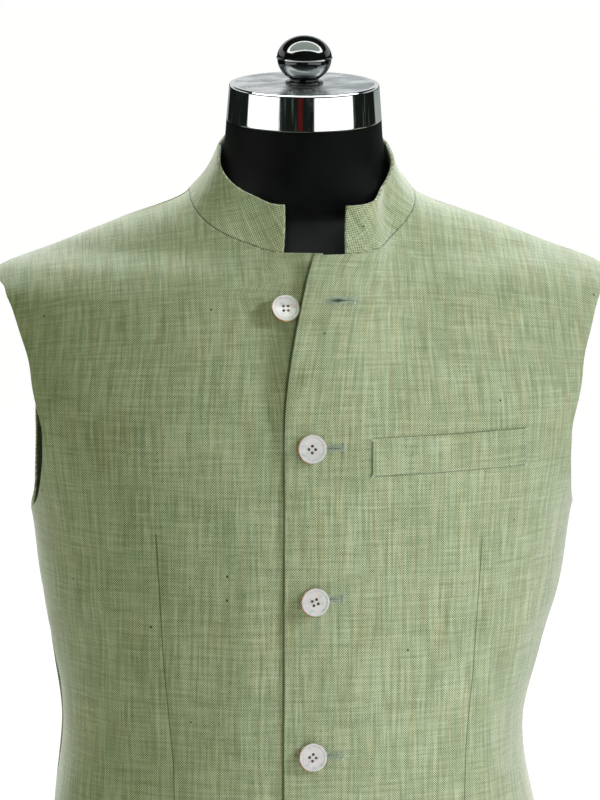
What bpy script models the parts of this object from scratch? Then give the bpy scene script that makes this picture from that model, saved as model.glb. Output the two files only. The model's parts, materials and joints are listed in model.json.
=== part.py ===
"""A sleeveless stand-collar jacket in linen, worn on a limbless dress form.

The jacket is cut as two fronts, two back halves, a stand collar and a chest
pocket welt, and is fastened with four-hole buttons, the top one left open.
The form is a smooth torso with a capped neck on a pole and a round base.

Metres, +Z up. The origin is on the floor under the middle of the base. The
front faces -Y, and +X is the wearer's left. A "rise" is a height measured
from the tip of the jacket's shoulder, and an "angle" runs round a section
from its middle front or middle back, 0, to its side, 90 degrees.
"""

import math
from collections import namedtuple

import bmesh
import bpy
import numpy as np
from mathutils import Matrix, Vector

SHOULDER_TIP_Z = 0.820
SEAM_GAP = 0.0003
CLOTH = 0.0020

# Jacket heights, as rises
HEM = -0.583
ARMPIT = -0.172
FRONT_NECK = 0.0165
SIDE_NECK = 0.053
BACK_NECK = 0.073
SIDE_NECK_HALF_WIDTH = 0.0793

# Horizontal sections of the jacket's outer face, from below the hem to the nape
Section = namedtuple("Section", "rise half_width front back squareness")
SECTIONS = (
    Section(-0.6400, 0.1880, 0.1330, 0.1370, 2.40),
    Section(-0.5830, 0.1880, 0.1330, 0.1370, 2.40),
    Section(-0.5000, 0.1840, 0.1300, 0.1340, 2.40),
    Section(-0.3900, 0.1730, 0.1230, 0.1170, 2.35),
    Section(-0.3250, 0.1670, 0.1210, 0.1060, 2.30),
    Section(-0.2700, 0.1755, 0.1250, 0.1080, 2.30),
    Section(-0.2150, 0.1860, 0.1300, 0.1140, 2.35),
    Section(-0.1720, 0.1915, 0.1325, 0.1180, 2.40),
    Section(-0.1120, 0.2160, 0.1320, 0.1220, 2.35),
    Section(-0.0600, 0.2360, 0.1230, 0.1210, 2.15),
    Section(-0.0180, 0.2330, 0.1070, 0.1130, 1.90),
    Section(0.0000, 0.2130, 0.0950, 0.1050, 1.70),
    Section(0.0165, 0.1710, 0.0800, 0.0950, 1.50),
    Section(0.0350, 0.1240, 0.0720, 0.0820, 1.50),
    Section(0.0530, 0.0793, 0.0660, 0.0700, 1.80),
    Section(0.0750, 0.0700, 0.0620, 0.0630, 2.00),
)

# Armhole edges, from the shoulder tip down to the armpit
Armhole = namedtuple("Armhole", "rise out")
FRONT_ARMHOLE = (
    Armhole(0.0000, 0.2130),
    Armhole(-0.0110, 0.2085),
    Armhole(-0.0380, 0.1985),
    Armhole(-0.0680, 0.1905),
    Armhole(-0.0990, 0.1843),
    Armhole(-0.1200, 0.1830),
    Armhole(-0.1410, 0.1845),
    Armhole(-0.1600, 0.1880),
    Armhole(ARMPIT, 0.1915),
)
BACK_ARMHOLE = (
    Armhole(0.0000, 0.2130),
    Armhole(-0.0120, 0.2080),
    Armhole(-0.0400, 0.1995),
    Armhole(-0.0800, 0.1925),
    Armhole(-0.1200, 0.1890),
    Armhole(-0.1500, 0.1893),
    Armhole(-0.1660, 0.1903),
    Armhole(ARMPIT, 0.1915),
)

# Front opening: the left front laps over the right one, and falls open above the second button
OVERLAP = 0.0192
UNDERLAP = 0.0260
LAP_LIFT = 0.0028
LAP_FADE = (0.028, 0.060)
OPENS_FROM = -0.105
LEFT_SPREAD = 0.0220
LEFT_SPREAD_POWER = 1.8
LEFT_SPREAD_FADE = (0.0, 0.077)
RIGHT_SPREAD = 0.0165
RIGHT_SPREAD_FULL = 0.75
RIGHT_SPREAD_FADE = (0.0, 0.045)
FLAP_LIFT = 0.0062
LEFT_GAPE = 0.0140
RIGHT_GAPE = 0.0080
LEFT_GAPE_FADE = (0.010, 0.065)
RIGHT_GAPE_FADE = (-0.014, 0.030)
HEM_CORNER = 0.018

# Soft folds: where each is centred, how it runs, and how far it sinks (-) or stands (+)
Fold = namedtuple("Fold", "side out rise length width slant depth")
FOLDS = (
    Fold("front_right", 0.150, -0.262, 0.070, 0.016, 28, -0.0022),
    Fold("front_right", 0.128, -0.300, 0.085, 0.018, 20, 0.0018),
    Fold("front_right", 0.160, -0.330, 0.060, 0.015, 35, -0.0018),
    Fold("front_right", 0.120, -0.395, 0.080, 0.018, -12, -0.0016),
    Fold("front_left", 0.155, -0.225, 0.060, 0.015, 24, -0.0018),
    Fold("front_left", 0.140, -0.300, 0.090, 0.017, 14, -0.0020),
    Fold("front_left", 0.125, -0.360, 0.070, 0.018, -15, 0.0016),
    Fold("back_right", 0.130, -0.270, 0.080, 0.018, 24, -0.0022),
    Fold("back_right", 0.095, -0.345, 0.090, 0.020, 8, 0.0018),
    Fold("back_left", 0.140, -0.285, 0.080, 0.018, 26, -0.0022),
    Fold("back_left", 0.100, -0.365, 0.080, 0.020, 4, -0.0018),
    Fold("left", 0.172, -0.335, 0.070, 0.050, 0, -0.0080),
    Fold("right", 0.172, -0.350, 0.080, 0.045, 0, 0.0055),
)
HEM_WAVES = 5
HEM_WAVE_DEPTH = 0.0022
HEM_WAVE_REACH = 0.20

# Panel meshes
FRONT_COLUMNS = 16
BACK_COLUMNS = 12
COLUMN_CROWDING = 1.25
BODY_ROWS = 15
CHEST_ROWS = 8
FRONT_NECK_ROWS = 8
BACK_CENTRE_ROWS = 9
BACK_NECK_ROWS = 7

# Stand collar
COLLAR_CLOTH = 0.0026
COLLAR_ROWS = 4
COLLAR_HOLLOW = 0.0024
CollarLean = namedtuple("CollarLean", "front side back")
COLLAR_IN = CollarLean(front=0.014, side=0.0191, back=0.009)
COLLAR_UP = CollarLean(front=0.0315, side=0.0320, back=0.0350)

# Chest pocket welt, on the left front
WELT_WIDTH = 0.1115
WELT_HEIGHT = 0.0262
WELT_CLOTH = 0.0016
WELT_CENTRE_OUT = 0.0952
WELT_CENTRE_RISE = -0.1166
WELT_TILT = math.radians(1.5)
WELT_COLUMNS = 10
WELT_ROWS = 3

# Buttons
BUTTON_RADIUS = 0.0100
BUTTON_THICKNESS = 0.0030
BUTTON_RIM = 0.0016
BUTTON_DISH = 0.0006
BUTTON_HOLE_RADIUS = 0.0010
BUTTON_HOLE_REACH = 0.0023
BUTTON_SEGMENTS = 20
BUTTON_HOLE_SIDES = 8
BUTTON_STAND_OFF = 0.0005
Button = namedtuple("Button", "name panel out rise turn")
BUTTONS = (
    Button("button_1", "front_right", 0.0010, -0.0200, 0),
    Button("button_2", "front_left", -0.0012, -0.1115, 42),
    Button("button_3", "front_left", 0.0010, -0.2165, 22),
    Button("button_4", "front_left", 0.0000, -0.3265, 38),
    Button("button_5", "front_left", 0.0005, -0.4345, 10),
)

# Dress form
FORM_FOOT = -0.628
FORM_SEGMENTS = 40
FORM_FOOT_ROUNDING = 0.012
Ease = namedtuple("Ease", "rise gap")
FORM_EASE = (
    Ease(-0.640, 0.0165),
    Ease(-0.583, 0.0145),
    Ease(-0.325, 0.0120),
    Ease(-0.172, 0.0065),
    Ease(-0.060, 0.0040),
    Ease(0.000, 0.0024),
    Ease(0.0165, 0.0034),
    Ease(0.035, 0.0062),
    Ease(0.075, 0.0080),
)
ArmPlate = namedtuple("ArmPlate", "rise out")
ARM_PLATES = (
    ArmPlate(-0.700, 0.230),
    ArmPlate(-0.260, 0.205),
    ArmPlate(-0.200, 0.178),
    ArmPlate(-0.160, 0.1715),
    ArmPlate(-0.120, 0.1765),
    ArmPlate(-0.040, 0.1930),
    ArmPlate(0.010, 0.2040),
    ArmPlate(0.080, 0.2300),
)
ARM_PLATE_ROUNDING = 0.004
TORSO_RISES = (
    -0.616, -0.590, -0.550, -0.500, -0.450, -0.400, -0.360, -0.325, -0.290, -0.255,
    -0.220, -0.190, -0.160, -0.130, -0.100, -0.072, -0.048, -0.028, -0.012, 0.000,
    0.008, 0.016, 0.024, 0.032, 0.040,
)
NECK_ASIDE = 0.0016
Neck = namedtuple("Neck", "rise half_width front back middle lean")
NECK_SECTIONS = (
    Neck(0.0520, 0.0700, 0.0605, 0.0625, 0.0000, 0.0),
    Neck(0.0640, 0.0625, 0.0590, 0.0600, -0.0010, 1.5),
    Neck(0.0780, 0.0572, 0.0560, 0.0560, -0.0035, 3.5),
    Neck(0.0900, 0.0553, 0.0548, 0.0548, -0.0058, 5.0),
    Neck(0.1025, 0.0544, 0.0544, 0.0544, -0.0080, 6.5),
)

# Neck cap and knob, turned about the neck's leaning axis
NECK_LEAN = math.radians(NECK_SECTIONS[-1].lean)
CAP_HEIGHT = 0.0255
CAP_FOOT_RADIUS = 0.0544
CAP_TOP_RADIUS = 0.0524
CAP_EDGE = 0.0018
CAP_SEGMENTS = 40
KNOB_RADIUS = 0.0197
KNOB_HEIGHT = 0.0330
KNOB_FOOT_RADIUS = 0.0100
KNOB_ROSE_RADIUS = 0.0135
KNOB_ROSE_HEIGHT = 0.0014
KNOB_GROOVE = 0.0005
KNOB_SEGMENTS = 28

# Stand
BASE_RADIUS = 0.150
BASE_EDGE_HEIGHT = 0.007
BASE_CROWN = 0.012
BOSS_RADIUS = 0.024
BOSS_HEIGHT = 0.028
POLE_RADIUS = 0.0125
FLANGE_RADIUS = 0.045
FLANGE_HEIGHT = 0.009
BASE_SEGMENTS = 40
POLE_SEGMENTS = 24

LINEN = (0.42, 0.50, 0.27)
SHELL = (0.86, 0.85, 0.80)
FORM_BLACK = (0.012, 0.013, 0.012)
CHROME = (0.78, 0.79, 0.80)


def smooth_curve(xs, ys):
    """A monotone cubic through the points, as a function of x."""
    xs = np.array(xs, float)
    ys = np.array(ys, float)
    steps = np.diff(xs)
    slopes = np.diff(ys) / steps
    tangents = np.zeros(len(xs))
    tangents[0], tangents[-1] = slopes[0], slopes[-1]
    for i in range(1, len(xs) - 1):
        before, after = slopes[i - 1], slopes[i]
        if before * after > 0:
            heavy = 2 * steps[i] + steps[i - 1]
            light = steps[i] + 2 * steps[i - 1]
            tangents[i] = (heavy + light) / (heavy / before + light / after)

    def at(x):
        x = np.clip(np.asarray(x, float), xs[0], xs[-1])
        i = np.clip(np.searchsorted(xs, x) - 1, 0, len(xs) - 2)
        t = (x - xs[i]) / steps[i]
        keep = (1 + 2 * t) * (1 - t) ** 2
        reach = t * t * (3 - 2 * t)
        bend = t * (1 - t) * steps[i]
        return keep * ys[i] + reach * ys[i + 1] + bend * ((1 - t) * tangents[i] - t * tangents[i + 1])

    return at


def column(table, name):
    """One column of a table against its rise, as a smooth function."""
    rows = sorted(table, key=lambda row: row.rise)
    return smooth_curve([row.rise for row in rows], [getattr(row, name) for row in rows])


half_width_at = column(SECTIONS, "half_width")
front_at = column(SECTIONS, "front")
back_at = column(SECTIONS, "back")
squareness_at = column(SECTIONS, "squareness")
form_gap_at = column(FORM_EASE, "gap")
arm_plate_at = column(ARM_PLATES, "out")


def signed_power(value, power):
    return np.sign(value) * np.abs(value) ** power


def fade(value, start, end):
    """0 up to start, 1 past end, and smooth between."""
    t = np.clip((value - start) / (end - start), 0, 1)
    return t * t * (3 - 2 * t)


def angle_at(out, rise):
    """The angle at which a section is that far out from the middle."""
    share = np.clip(out / half_width_at(rise), -1, 1)
    return np.arcsin(signed_power(share, squareness_at(rise) / 2))


def skin(angle, rise, is_front):
    """Points on the plain outer face, before laps and folds."""
    power = 2 / squareness_at(rise)
    depth = -front_at(rise) if is_front else back_at(rise)
    x = half_width_at(rise) * signed_power(np.sin(angle), power)
    y = depth * signed_power(np.cos(angle), power)
    return np.stack([x, y, rise + np.zeros_like(x)], axis=-1)


def skin_normal(points, is_front):
    """Outward unit normals of the plain outer face."""
    x, y, rise = points[..., 0], points[..., 1], points[..., 2]

    def level(height):
        depth = front_at(height) if is_front else back_at(height)
        n = squareness_at(height)
        return np.abs(x / half_width_at(height)) ** n + np.abs(y / depth) ** n

    n = squareness_at(rise)
    wide = half_width_at(rise)
    deep = front_at(rise) if is_front else back_at(rise)
    step = 0.0004
    normal = np.stack(
        [
            n * signed_power(x / wide, n - 1) / wide,
            n * signed_power(y / deep, n - 1) / deep,
            (level(rise + step) - level(rise - step)) / (2 * step),
        ],
        axis=-1,
    )
    return normal / np.linalg.norm(normal, axis=-1, keepdims=True)


def fold_height(panel, out, rise):
    """How far the soft folds move the cloth along its normal."""
    height = np.zeros_like(out)
    for fold in FOLDS:
        if not panel.endswith(fold.side):
            continue
        slant = math.radians(fold.slant)
        across = (out - fold.out) * math.cos(slant) + (rise - fold.rise) * math.sin(slant)
        along = (rise - fold.rise) * math.cos(slant) - (out - fold.out) * math.sin(slant)
        height += fold.depth * np.exp(-((across / fold.width) ** 2) - (along / fold.length) ** 2)
    return height


def hem_wave(angle, rise):
    """Shallow flutes that grow towards the hem."""
    grow = np.clip(1 - (rise - HEM) / HEM_WAVE_REACH, 0, 1) ** 2
    ends = np.sin(np.clip(angle, 0, math.pi / 2) * 2)
    return HEM_WAVE_DEPTH * grow * ends * np.sin(angle * HEM_WAVES * 2)


def cloth(panel, angle, rise):
    """Outer points and normals of a panel, in the shoulder frame, on the +X side; the lap stands off level."""
    is_front = panel.startswith("front")
    points = skin(angle, rise, is_front)
    out = points[..., 0].copy()
    lift = fold_height(panel, out, rise) + hem_wave(angle, rise)
    stand_off = np.zeros_like(lift)
    if is_front:
        opening = np.clip((rise - OPENS_FROM) / (FRONT_NECK - OPENS_FROM), 0, 1)
        gape = opening**0.8 * (1 - 0.3 * opening)
        if panel == "front_left":
            spread = LEFT_SPREAD * opening**LEFT_SPREAD_POWER * (1 - fade(out, *LEFT_SPREAD_FADE))
            stand_off = (LAP_LIFT + FLAP_LIFT * opening**1.5) * (1 - fade(out, *LAP_FADE))
            stand_off += LEFT_GAPE * gape * (1 - fade(out, *LEFT_GAPE_FADE))
        else:
            spread = RIGHT_SPREAD * fade(opening, 0, RIGHT_SPREAD_FULL) * (1 - fade(out, *RIGHT_SPREAD_FADE))
            stand_off = RIGHT_GAPE * gape * (1 - fade(out, *RIGHT_GAPE_FADE))
        moved = angle_at(out + spread, rise)
        points = skin(np.where(spread > 0, moved, angle), rise, is_front)
    normals = skin_normal(points, is_front)
    points = points + normals * lift[..., None]
    points[..., :2] += normals[..., :2] * stand_off[..., None]
    points[..., 1] += -SEAM_GAP / 2 if is_front else SEAM_GAP / 2
    if not is_front:
        points[..., 0] += SEAM_GAP / 2
    return points, normals


def spaced(points, count, crowding=1.0):
    """Where along a dense line to stop for count + 1 evenly spaced stations."""
    along = np.concatenate([[0], np.cumsum(np.linalg.norm(np.diff(points, axis=0), axis=1))])
    wanted = along[-1] * np.linspace(0, 1, count + 1) ** crowding
    return np.interp(wanted, along, np.linspace(0, 1, len(points)))


def stations(angles, rises, count, is_front):
    """Evenly spaced (angle, rise) pairs along a line drawn on the skin."""
    share = spaced(skin(angles, rises, is_front), count)
    dense = np.linspace(0, 1, len(angles))
    return list(zip(np.interp(share, dense, angles), np.interp(share, dense, rises)))


def armhole_line(table, samples=200):
    """Dense (angles, rises) up an armhole edge, armpit first."""
    rises = np.array([row.rise for row in reversed(table)])
    outs = np.array([row.out for row in reversed(table)])
    angles = angle_at(outs, rises)
    angles[0] = angles[-1] = math.pi / 2
    chord = np.hypot(np.diff(outs), np.diff(rises)) + 0.25 * np.abs(np.diff(angles)) * outs[1:]
    along = np.concatenate([[0], np.cumsum(chord)])
    dense = np.linspace(0, along[-1], samples)
    return smooth_curve(along, angles)(dense), smooth_curve(along, rises)(dense)


def front_neckline(samples=120):
    """Dense (angles, rises) from the middle front to the side of the neck."""
    turn = np.linspace(0, math.pi / 2, samples)
    rises = FRONT_NECK + (SIDE_NECK - FRONT_NECK) * (1 - np.cos(turn))
    angles = angle_at(SIDE_NECK_HALF_WIDTH * np.sin(turn), rises)
    angles[-1] = math.pi / 2
    return angles, rises


def back_neckline(samples=120):
    """Dense (angles, rises) from the middle back to the side of the neck."""
    angles = np.linspace(0, math.pi / 2, samples)
    return angles, SIDE_NECK + (BACK_NECK - SIDE_NECK) * np.cos(angles)


def front_rows(lap):
    """(inner station, outer station) of each row of a front, hem first."""
    rows = []
    for rise in np.linspace(HEM, ARMPIT, BODY_ROWS + 1)[:-1]:
        rows.append(((angle_at(-lap, rise), rise), (math.pi / 2, rise)))
    edge = [(angle_at(-lap, rise), rise) for rise in np.linspace(ARMPIT, FRONT_NECK, CHEST_ROWS + 1)]
    neck = stations(*front_neckline(), FRONT_NECK_ROWS, True)
    inner = edge + neck
    outer = stations(*armhole_line(FRONT_ARMHOLE), len(inner) - 1, True)
    return rows + list(zip(inner, outer))


def back_rows():
    """(inner station, outer station) of each row of a back half, hem first."""
    rows = []
    for rise in np.linspace(HEM, ARMPIT, BODY_ROWS + 1)[:-1]:
        rows.append(((0.0, rise), (math.pi / 2, rise)))
    centre = [(0.0, rise) for rise in np.linspace(ARMPIT, BACK_NECK, BACK_CENTRE_ROWS + 1)[:-1]]
    inner = centre + stations(*back_neckline(), BACK_NECK_ROWS, False)
    outer = stations(*armhole_line(BACK_ARMHOLE), len(inner) - 1, False)
    return rows + list(zip(inner, outer))


def hem_corner_lift(distance):
    """How far the rounded lower corner of a front stands above the hem."""
    inside = np.clip(HEM_CORNER - distance, 0, HEM_CORNER)
    return HEM_CORNER - np.sqrt(HEM_CORNER**2 - inside**2)


def panel_grid(panel):
    """Outer points and normals of a panel as rows by columns, on the +X side."""
    is_front = panel.startswith("front")
    lap = OVERLAP if panel == "front_left" else UNDERLAP
    rows = front_rows(lap) if is_front else back_rows()
    columns = FRONT_COLUMNS if is_front else BACK_COLUMNS
    dense = np.linspace(0, 1, 160)
    grid_points, grid_normals = [], []
    for number, ((angle_in, rise_in), (angle_out, rise_out)) in enumerate(rows):
        angles = angle_in + (angle_out - angle_in) * dense
        rises = rise_in + (rise_out - rise_in) * dense
        line, _ = cloth(panel, angles, rises)
        share = spaced(line, columns, COLUMN_CROWDING if is_front else 1.0)
        angles = angle_in + (angle_out - angle_in) * share
        rises = rise_in + (rise_out - rise_in) * share
        if is_front and number < 3:
            length = np.linalg.norm(np.diff(line, axis=0), axis=1).sum()
            lift = hem_corner_lift(share * length) * (1 - number / 3)
            rises = rises + lift
        points, normals = cloth(panel, angles, rises)
        grid_points.append(points)
        grid_normals.append(normals)
    return np.array(grid_points), np.array(grid_normals)


def to_world(panel, points):
    """Mirrors a right-hand piece to -X and lifts it to the shoulder's height."""
    points = np.array(points, float)
    if panel.endswith("right"):
        points[..., 0] *= -1
    points[..., 2] += SHOULDER_TIP_Z
    return points


def material(name, colour, roughness, metallic=0.0):
    made = bpy.data.materials.get(name) or bpy.data.materials.new(name)
    made.use_nodes = True
    shader = made.node_tree.nodes["Principled BSDF"]
    shader.inputs["Base Color"].default_value = (*colour, 1.0)
    shader.inputs["Roughness"].default_value = roughness
    shader.inputs["Metallic"].default_value = metallic
    return made


def add_object(name, mesh, finish, smooth_angle=40):
    mesh.materials.append(finish)
    mesh.shade_smooth()
    mesh.set_sharp_from_angle(angle=math.radians(smooth_angle))
    made = bpy.data.objects.new(name, mesh)
    bpy.context.scene.collection.objects.link(made)
    return made


def mesh_from(name, points, faces):
    """A closed mesh with its faces turned outwards."""
    mesh = bpy.data.meshes.new(name)
    mesh.from_pydata([tuple(p) for p in points], [], faces)
    work = bmesh.new()
    work.from_mesh(mesh)
    bmesh.ops.recalc_face_normals(work, faces=work.faces)
    work.to_mesh(mesh)
    work.free()
    return mesh


def wall(name, outer, inner, finish):
    """A cloth wall between two grids of points, closed round its four edges."""
    rows, columns = outer.shape[:2]
    count = rows * columns
    points = np.concatenate([outer.reshape(-1, 3), inner.reshape(-1, 3)])

    def at(layer, row, col):
        return layer * count + row * columns + col

    faces = []
    for layer in (0, 1):
        for row in range(rows - 1):
            for col in range(columns - 1):
                faces.append(
                    (
                        at(layer, row, col),
                        at(layer, row, col + 1),
                        at(layer, row + 1, col + 1),
                        at(layer, row + 1, col),
                    )
                )
    border = [(0, col) for col in range(columns - 1)]
    border += [(row, columns - 1) for row in range(rows - 1)]
    border += [(rows - 1, col) for col in range(columns - 1, 0, -1)]
    border += [(row, 0) for row in range(rows - 1, 0, -1)]
    for here, there in zip(border, border[1:] + border[:1]):
        faces.append((at(0, *here), at(0, *there), at(1, *there), at(1, *here)))
    return add_object(name, mesh_from(name, points, faces), finish)


def rings_solid(name, rings, finish, smooth_angle=40):
    """A solid lofted through rings of equal length, closed with flat ends."""
    count = len(rings[0])
    points = np.concatenate(rings)
    faces = []
    for ring in range(len(rings) - 1):
        for i in range(count):
            j = (i + 1) % count
            low, high = ring * count, (ring + 1) * count
            faces.append((low + i, low + j, high + j, high + i))
    faces.append(tuple(reversed(range(count))))
    faces.append(tuple((len(rings) - 1) * count + i for i in range(count)))
    return add_object(name, mesh_from(name, points, faces), finish, smooth_angle)


def turned(name, profile, segments, finish, place=None, smooth_angle=40):
    """A solid turned about +Z from (radius, height) pairs, then moved by a matrix."""
    turns = np.linspace(0, 2 * math.pi, segments, endpoint=False)
    rings = []
    for radius, height in profile:
        rings.append(np.stack([radius * np.cos(turns), radius * np.sin(turns), height + 0 * turns], axis=1))
    made = rings_solid(name, rings, finish, smooth_angle)
    made.matrix_world = place or Matrix.Identity(4)
    return made


def make_panels(linen):
    for panel in ("front_left", "front_right", "back_left", "back_right"):
        points, normals = panel_grid(panel)
        inner = points - normals * CLOTH
        wall(panel, to_world(panel, points), to_world(panel, inner), linen)


def lean_at(lean, is_front, turn):
    """A collar measure between its middle and its side."""
    middle = lean.front if is_front else lean.back
    return middle + (lean.side - middle) * math.sin(turn) ** 2


def collar_side(hand):
    """Foot points, foot normals and top points of half the collar, middle front to middle back."""
    feet, normals, tops = [], [], []
    front = stations(*front_neckline(), FRONT_NECK_ROWS, True)
    back = stations(*back_neckline(), BACK_NECK_ROWS, False)[::-1]
    for is_front, line in ((True, front), (False, back[1:])):
        panel = ("front_" if is_front else "back_") + hand
        for angle, rise in line:
            foot, normal = cloth(panel, np.array(angle), np.array(rise))
            if not is_front:
                foot[0] -= SEAM_GAP / 2
            plain = skin(np.array(angle), np.array(rise), is_front)
            turn = math.atan2(plain[0], abs(plain[1]))
            inward = lean_at(COLLAR_IN, is_front, turn)
            shift = Vector(
                (
                    -inward * math.sin(turn) ** 2,
                    inward * math.cos(turn) * (1 if is_front else -1),
                    lean_at(COLLAR_UP, is_front, turn),
                )
            )
            feet.append(foot)
            normals.append(normal)
            tops.append(foot + np.array(shift))
    return np.array(feet), np.array(normals), np.array(tops)


def grid_normals(grid):
    """Unit normals of a grid of points, by central differences."""
    across = np.gradient(grid, axis=1)
    along = np.gradient(grid, axis=0)
    normal = np.cross(across, along)
    return normal / np.linalg.norm(normal, axis=-1, keepdims=True)


def make_collar(linen):
    """One band round the neck, from the right front's middle to the left front's."""
    parts = []
    for hand in ("right", "left"):
        feet, normals, tops = collar_side(hand)
        mirror = np.array([-1 if hand == "right" else 1, 1, 1])
        aside = np.array([NECK_ASIDE, 0, 0])
        parts.append((to_world(hand, feet), normals * mirror, to_world(hand, tops) + aside))
    right, left = parts
    feet, foot_normals, tops = (
        np.concatenate([r, l[::-1][1:]]) for r, l in zip(right, left)
    )
    middle = len(right[0]) - 1
    for line in (feet, foot_normals, tops):
        line[middle, 0] = 0
    up = tops - feet
    length = np.linalg.norm(up, axis=1, keepdims=True)
    feet = feet + up / length * SEAM_GAP
    heights = np.linspace(0, 1, COLLAR_ROWS + 1)[:, None, None]
    outer = feet + (tops - feet) * heights
    outward = grid_normals(outer)
    if outward[0, 0, 1] > 0:
        outward = -outward
    outer = outer - outward * COLLAR_HOLLOW * 4 * heights * (1 - heights)
    thick = grid_normals(outer)
    if thick[0, 0, 1] > 0:
        thick = -thick
    thick[0] = foot_normals
    wall("collar", outer, outer - thick * COLLAR_CLOTH, linen)


def make_welt(linen):
    """The pocket's folded strip, laid on the left front and a seam's gap off it."""
    across = np.linspace(-0.5, 0.5, WELT_COLUMNS + 1) * WELT_WIDTH
    upward = np.linspace(-0.5, 0.5, WELT_ROWS + 1) * WELT_HEIGHT
    along, high = np.meshgrid(across, upward)
    rise = WELT_CENTRE_RISE + high + along * math.sin(WELT_TILT)
    angles = np.linspace(0, math.pi / 2, 400)
    middle = skin(angles, np.full_like(angles, WELT_CENTRE_RISE), True)
    arc = np.concatenate([[0], np.cumsum(np.linalg.norm(np.diff(middle, axis=0), axis=1))])
    centre = np.interp(WELT_CENTRE_OUT, middle[:, 0], arc)
    angle = angle_at(np.interp(centre + along, arc, middle[:, 0]), rise)
    points, normals = cloth("front_left", angle, rise)
    inner = to_world("welt", points + normals * SEAM_GAP * 2)
    outer = to_world("welt", points + normals * (SEAM_GAP * 2 + WELT_CLOTH))
    wall("pocket_welt", outer, inner, linen)


def button_profile():
    """(radius, height) pairs up the outside of a button and into its dish."""
    rim = BUTTON_RADIUS - BUTTON_RIM
    return [
        (BUTTON_RADIUS * 0.78, 0.0),
        (BUTTON_RADIUS * 0.97, BUTTON_THICKNESS * 0.35),
        (BUTTON_RADIUS, BUTTON_THICKNESS * 0.65),
        (BUTTON_RADIUS * 0.965, BUTTON_THICKNESS * 0.93),
        (BUTTON_RADIUS * 0.91, BUTTON_THICKNESS),
        (rim, BUTTON_THICKNESS * 0.95),
        (rim - 0.0004, BUTTON_THICKNESS - BUTTON_DISH),
    ]


def button_place(button):
    """A matrix that sets a button's back on its panel, turned as it was sewn."""
    angle = angle_at(button.out, button.rise)
    point, normal = cloth(button.panel, np.array(angle), np.array(button.rise))
    if button.panel.endswith("right"):
        normal = normal * np.array([-1, 1, 1])
    place = Vector(to_world(button.panel, point) + normal * BUTTON_STAND_OFF)
    turn = Vector(normal).to_track_quat("Z", "X").to_matrix().to_4x4()
    spin = Matrix.Rotation(math.radians(button.turn + 45), 4, "Z")
    return Matrix.Translation(place) @ turn @ spin


def make_buttons(shell):
    cutters = []
    for quarter in range(4):
        turn = quarter * math.pi / 2
        spot = Matrix.Translation((BUTTON_HOLE_REACH * math.cos(turn), BUTTON_HOLE_REACH * math.sin(turn), 0))
        profile = [(BUTTON_HOLE_RADIUS, -0.001), (BUTTON_HOLE_RADIUS, BUTTON_THICKNESS + 0.001)]
        cutters.append((turned(f"hole_{quarter}", profile, BUTTON_HOLE_SIDES, shell), spot))
    for button in BUTTONS:
        made = turned(button.name, button_profile(), BUTTON_SEGMENTS, shell)
        for cutter, spot in cutters:
            cutter.matrix_world = spot
            cut = made.modifiers.new("hole", "BOOLEAN")
            cut.operation = "DIFFERENCE"
            cut.solver = "EXACT"
            cut.object = cutter
        bpy.context.view_layer.update()
        evaluated = made.evaluated_get(bpy.context.evaluated_depsgraph_get())
        mesh = bpy.data.meshes.new_from_object(evaluated)
        made.modifiers.clear()
        made.data = mesh
        made.matrix_world = button_place(button)
    for cutter, _ in cutters:
        bpy.data.objects.remove(cutter)


def form_ring(rise):
    """One ring of the torso: the jacket's section, drawn in by its ease and cut off at the arms."""
    turns = np.linspace(0, 2 * math.pi, FORM_SEGMENTS, endpoint=False)
    ring = []
    for turn in turns:
        is_front = math.cos(turn) >= 0
        angle = np.array(math.asin(abs(math.sin(turn))))
        point = skin(angle, np.array(rise), is_front)
        normal = skin_normal(point, is_front)
        point = point - normal * (CLOTH + form_gap_at(rise))
        plate = float(arm_plate_at(rise))
        past = (point[0] - plate) / ARM_PLATE_ROUNDING
        point[0] = plate - ARM_PLATE_ROUNDING * math.log1p(math.exp(-past)) if past > -30 else point[0]
        side = 1 if math.sin(turn) >= 0 else -1
        ring.append((side * point[0], point[1], SHOULDER_TIP_Z + point[2]))
    return np.array(ring)


def neck_ring(neck):
    """One ring of the neck, leaning forward with it."""
    turns = np.linspace(0, 2 * math.pi, FORM_SEGMENTS, endpoint=False)
    lean = math.radians(neck.lean)
    depth = np.where(np.cos(turns) >= 0, neck.front, neck.back)
    local = -np.cos(turns) * depth
    x = np.sin(turns) * neck.half_width + NECK_ASIDE
    y = neck.middle + local * math.cos(lean)
    z = SHOULDER_TIP_Z + neck.rise + local * math.sin(lean)
    return np.stack([x, y, z], axis=1)


def foot_rings():
    """The rounded lower edge of the torso, lowest ring first."""
    lowest = form_ring(FORM_FOOT + FORM_FOOT_ROUNDING)
    rings = []
    for turn in (90, 55, 25):
        inset = FORM_FOOT_ROUNDING * (1 - math.cos(math.radians(turn)))
        drop = FORM_FOOT_ROUNDING * math.sin(math.radians(turn))
        ring = lowest.copy()
        spread = np.hypot(ring[:, 0], ring[:, 1])[:, None]
        ring[:, :2] *= (spread - inset) / spread
        ring[:, 2] = SHOULDER_TIP_Z + FORM_FOOT + FORM_FOOT_ROUNDING - drop
        rings.append(ring)
    return rings


def make_form(black):
    rings = foot_rings()
    rings += [form_ring(rise) for rise in TORSO_RISES]
    rings += [neck_ring(neck) for neck in NECK_SECTIONS]
    rings_solid("form_torso", rings, black, 60)


def neck_axis():
    """A matrix from the cap's own frame, foot at its origin, to the leaning neck's top."""
    top = NECK_SECTIONS[-1]
    place = Matrix.Translation((NECK_ASIDE, top.middle, SHOULDER_TIP_Z + top.rise))
    return place @ Matrix.Rotation(NECK_LEAN, 4, "X")


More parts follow.
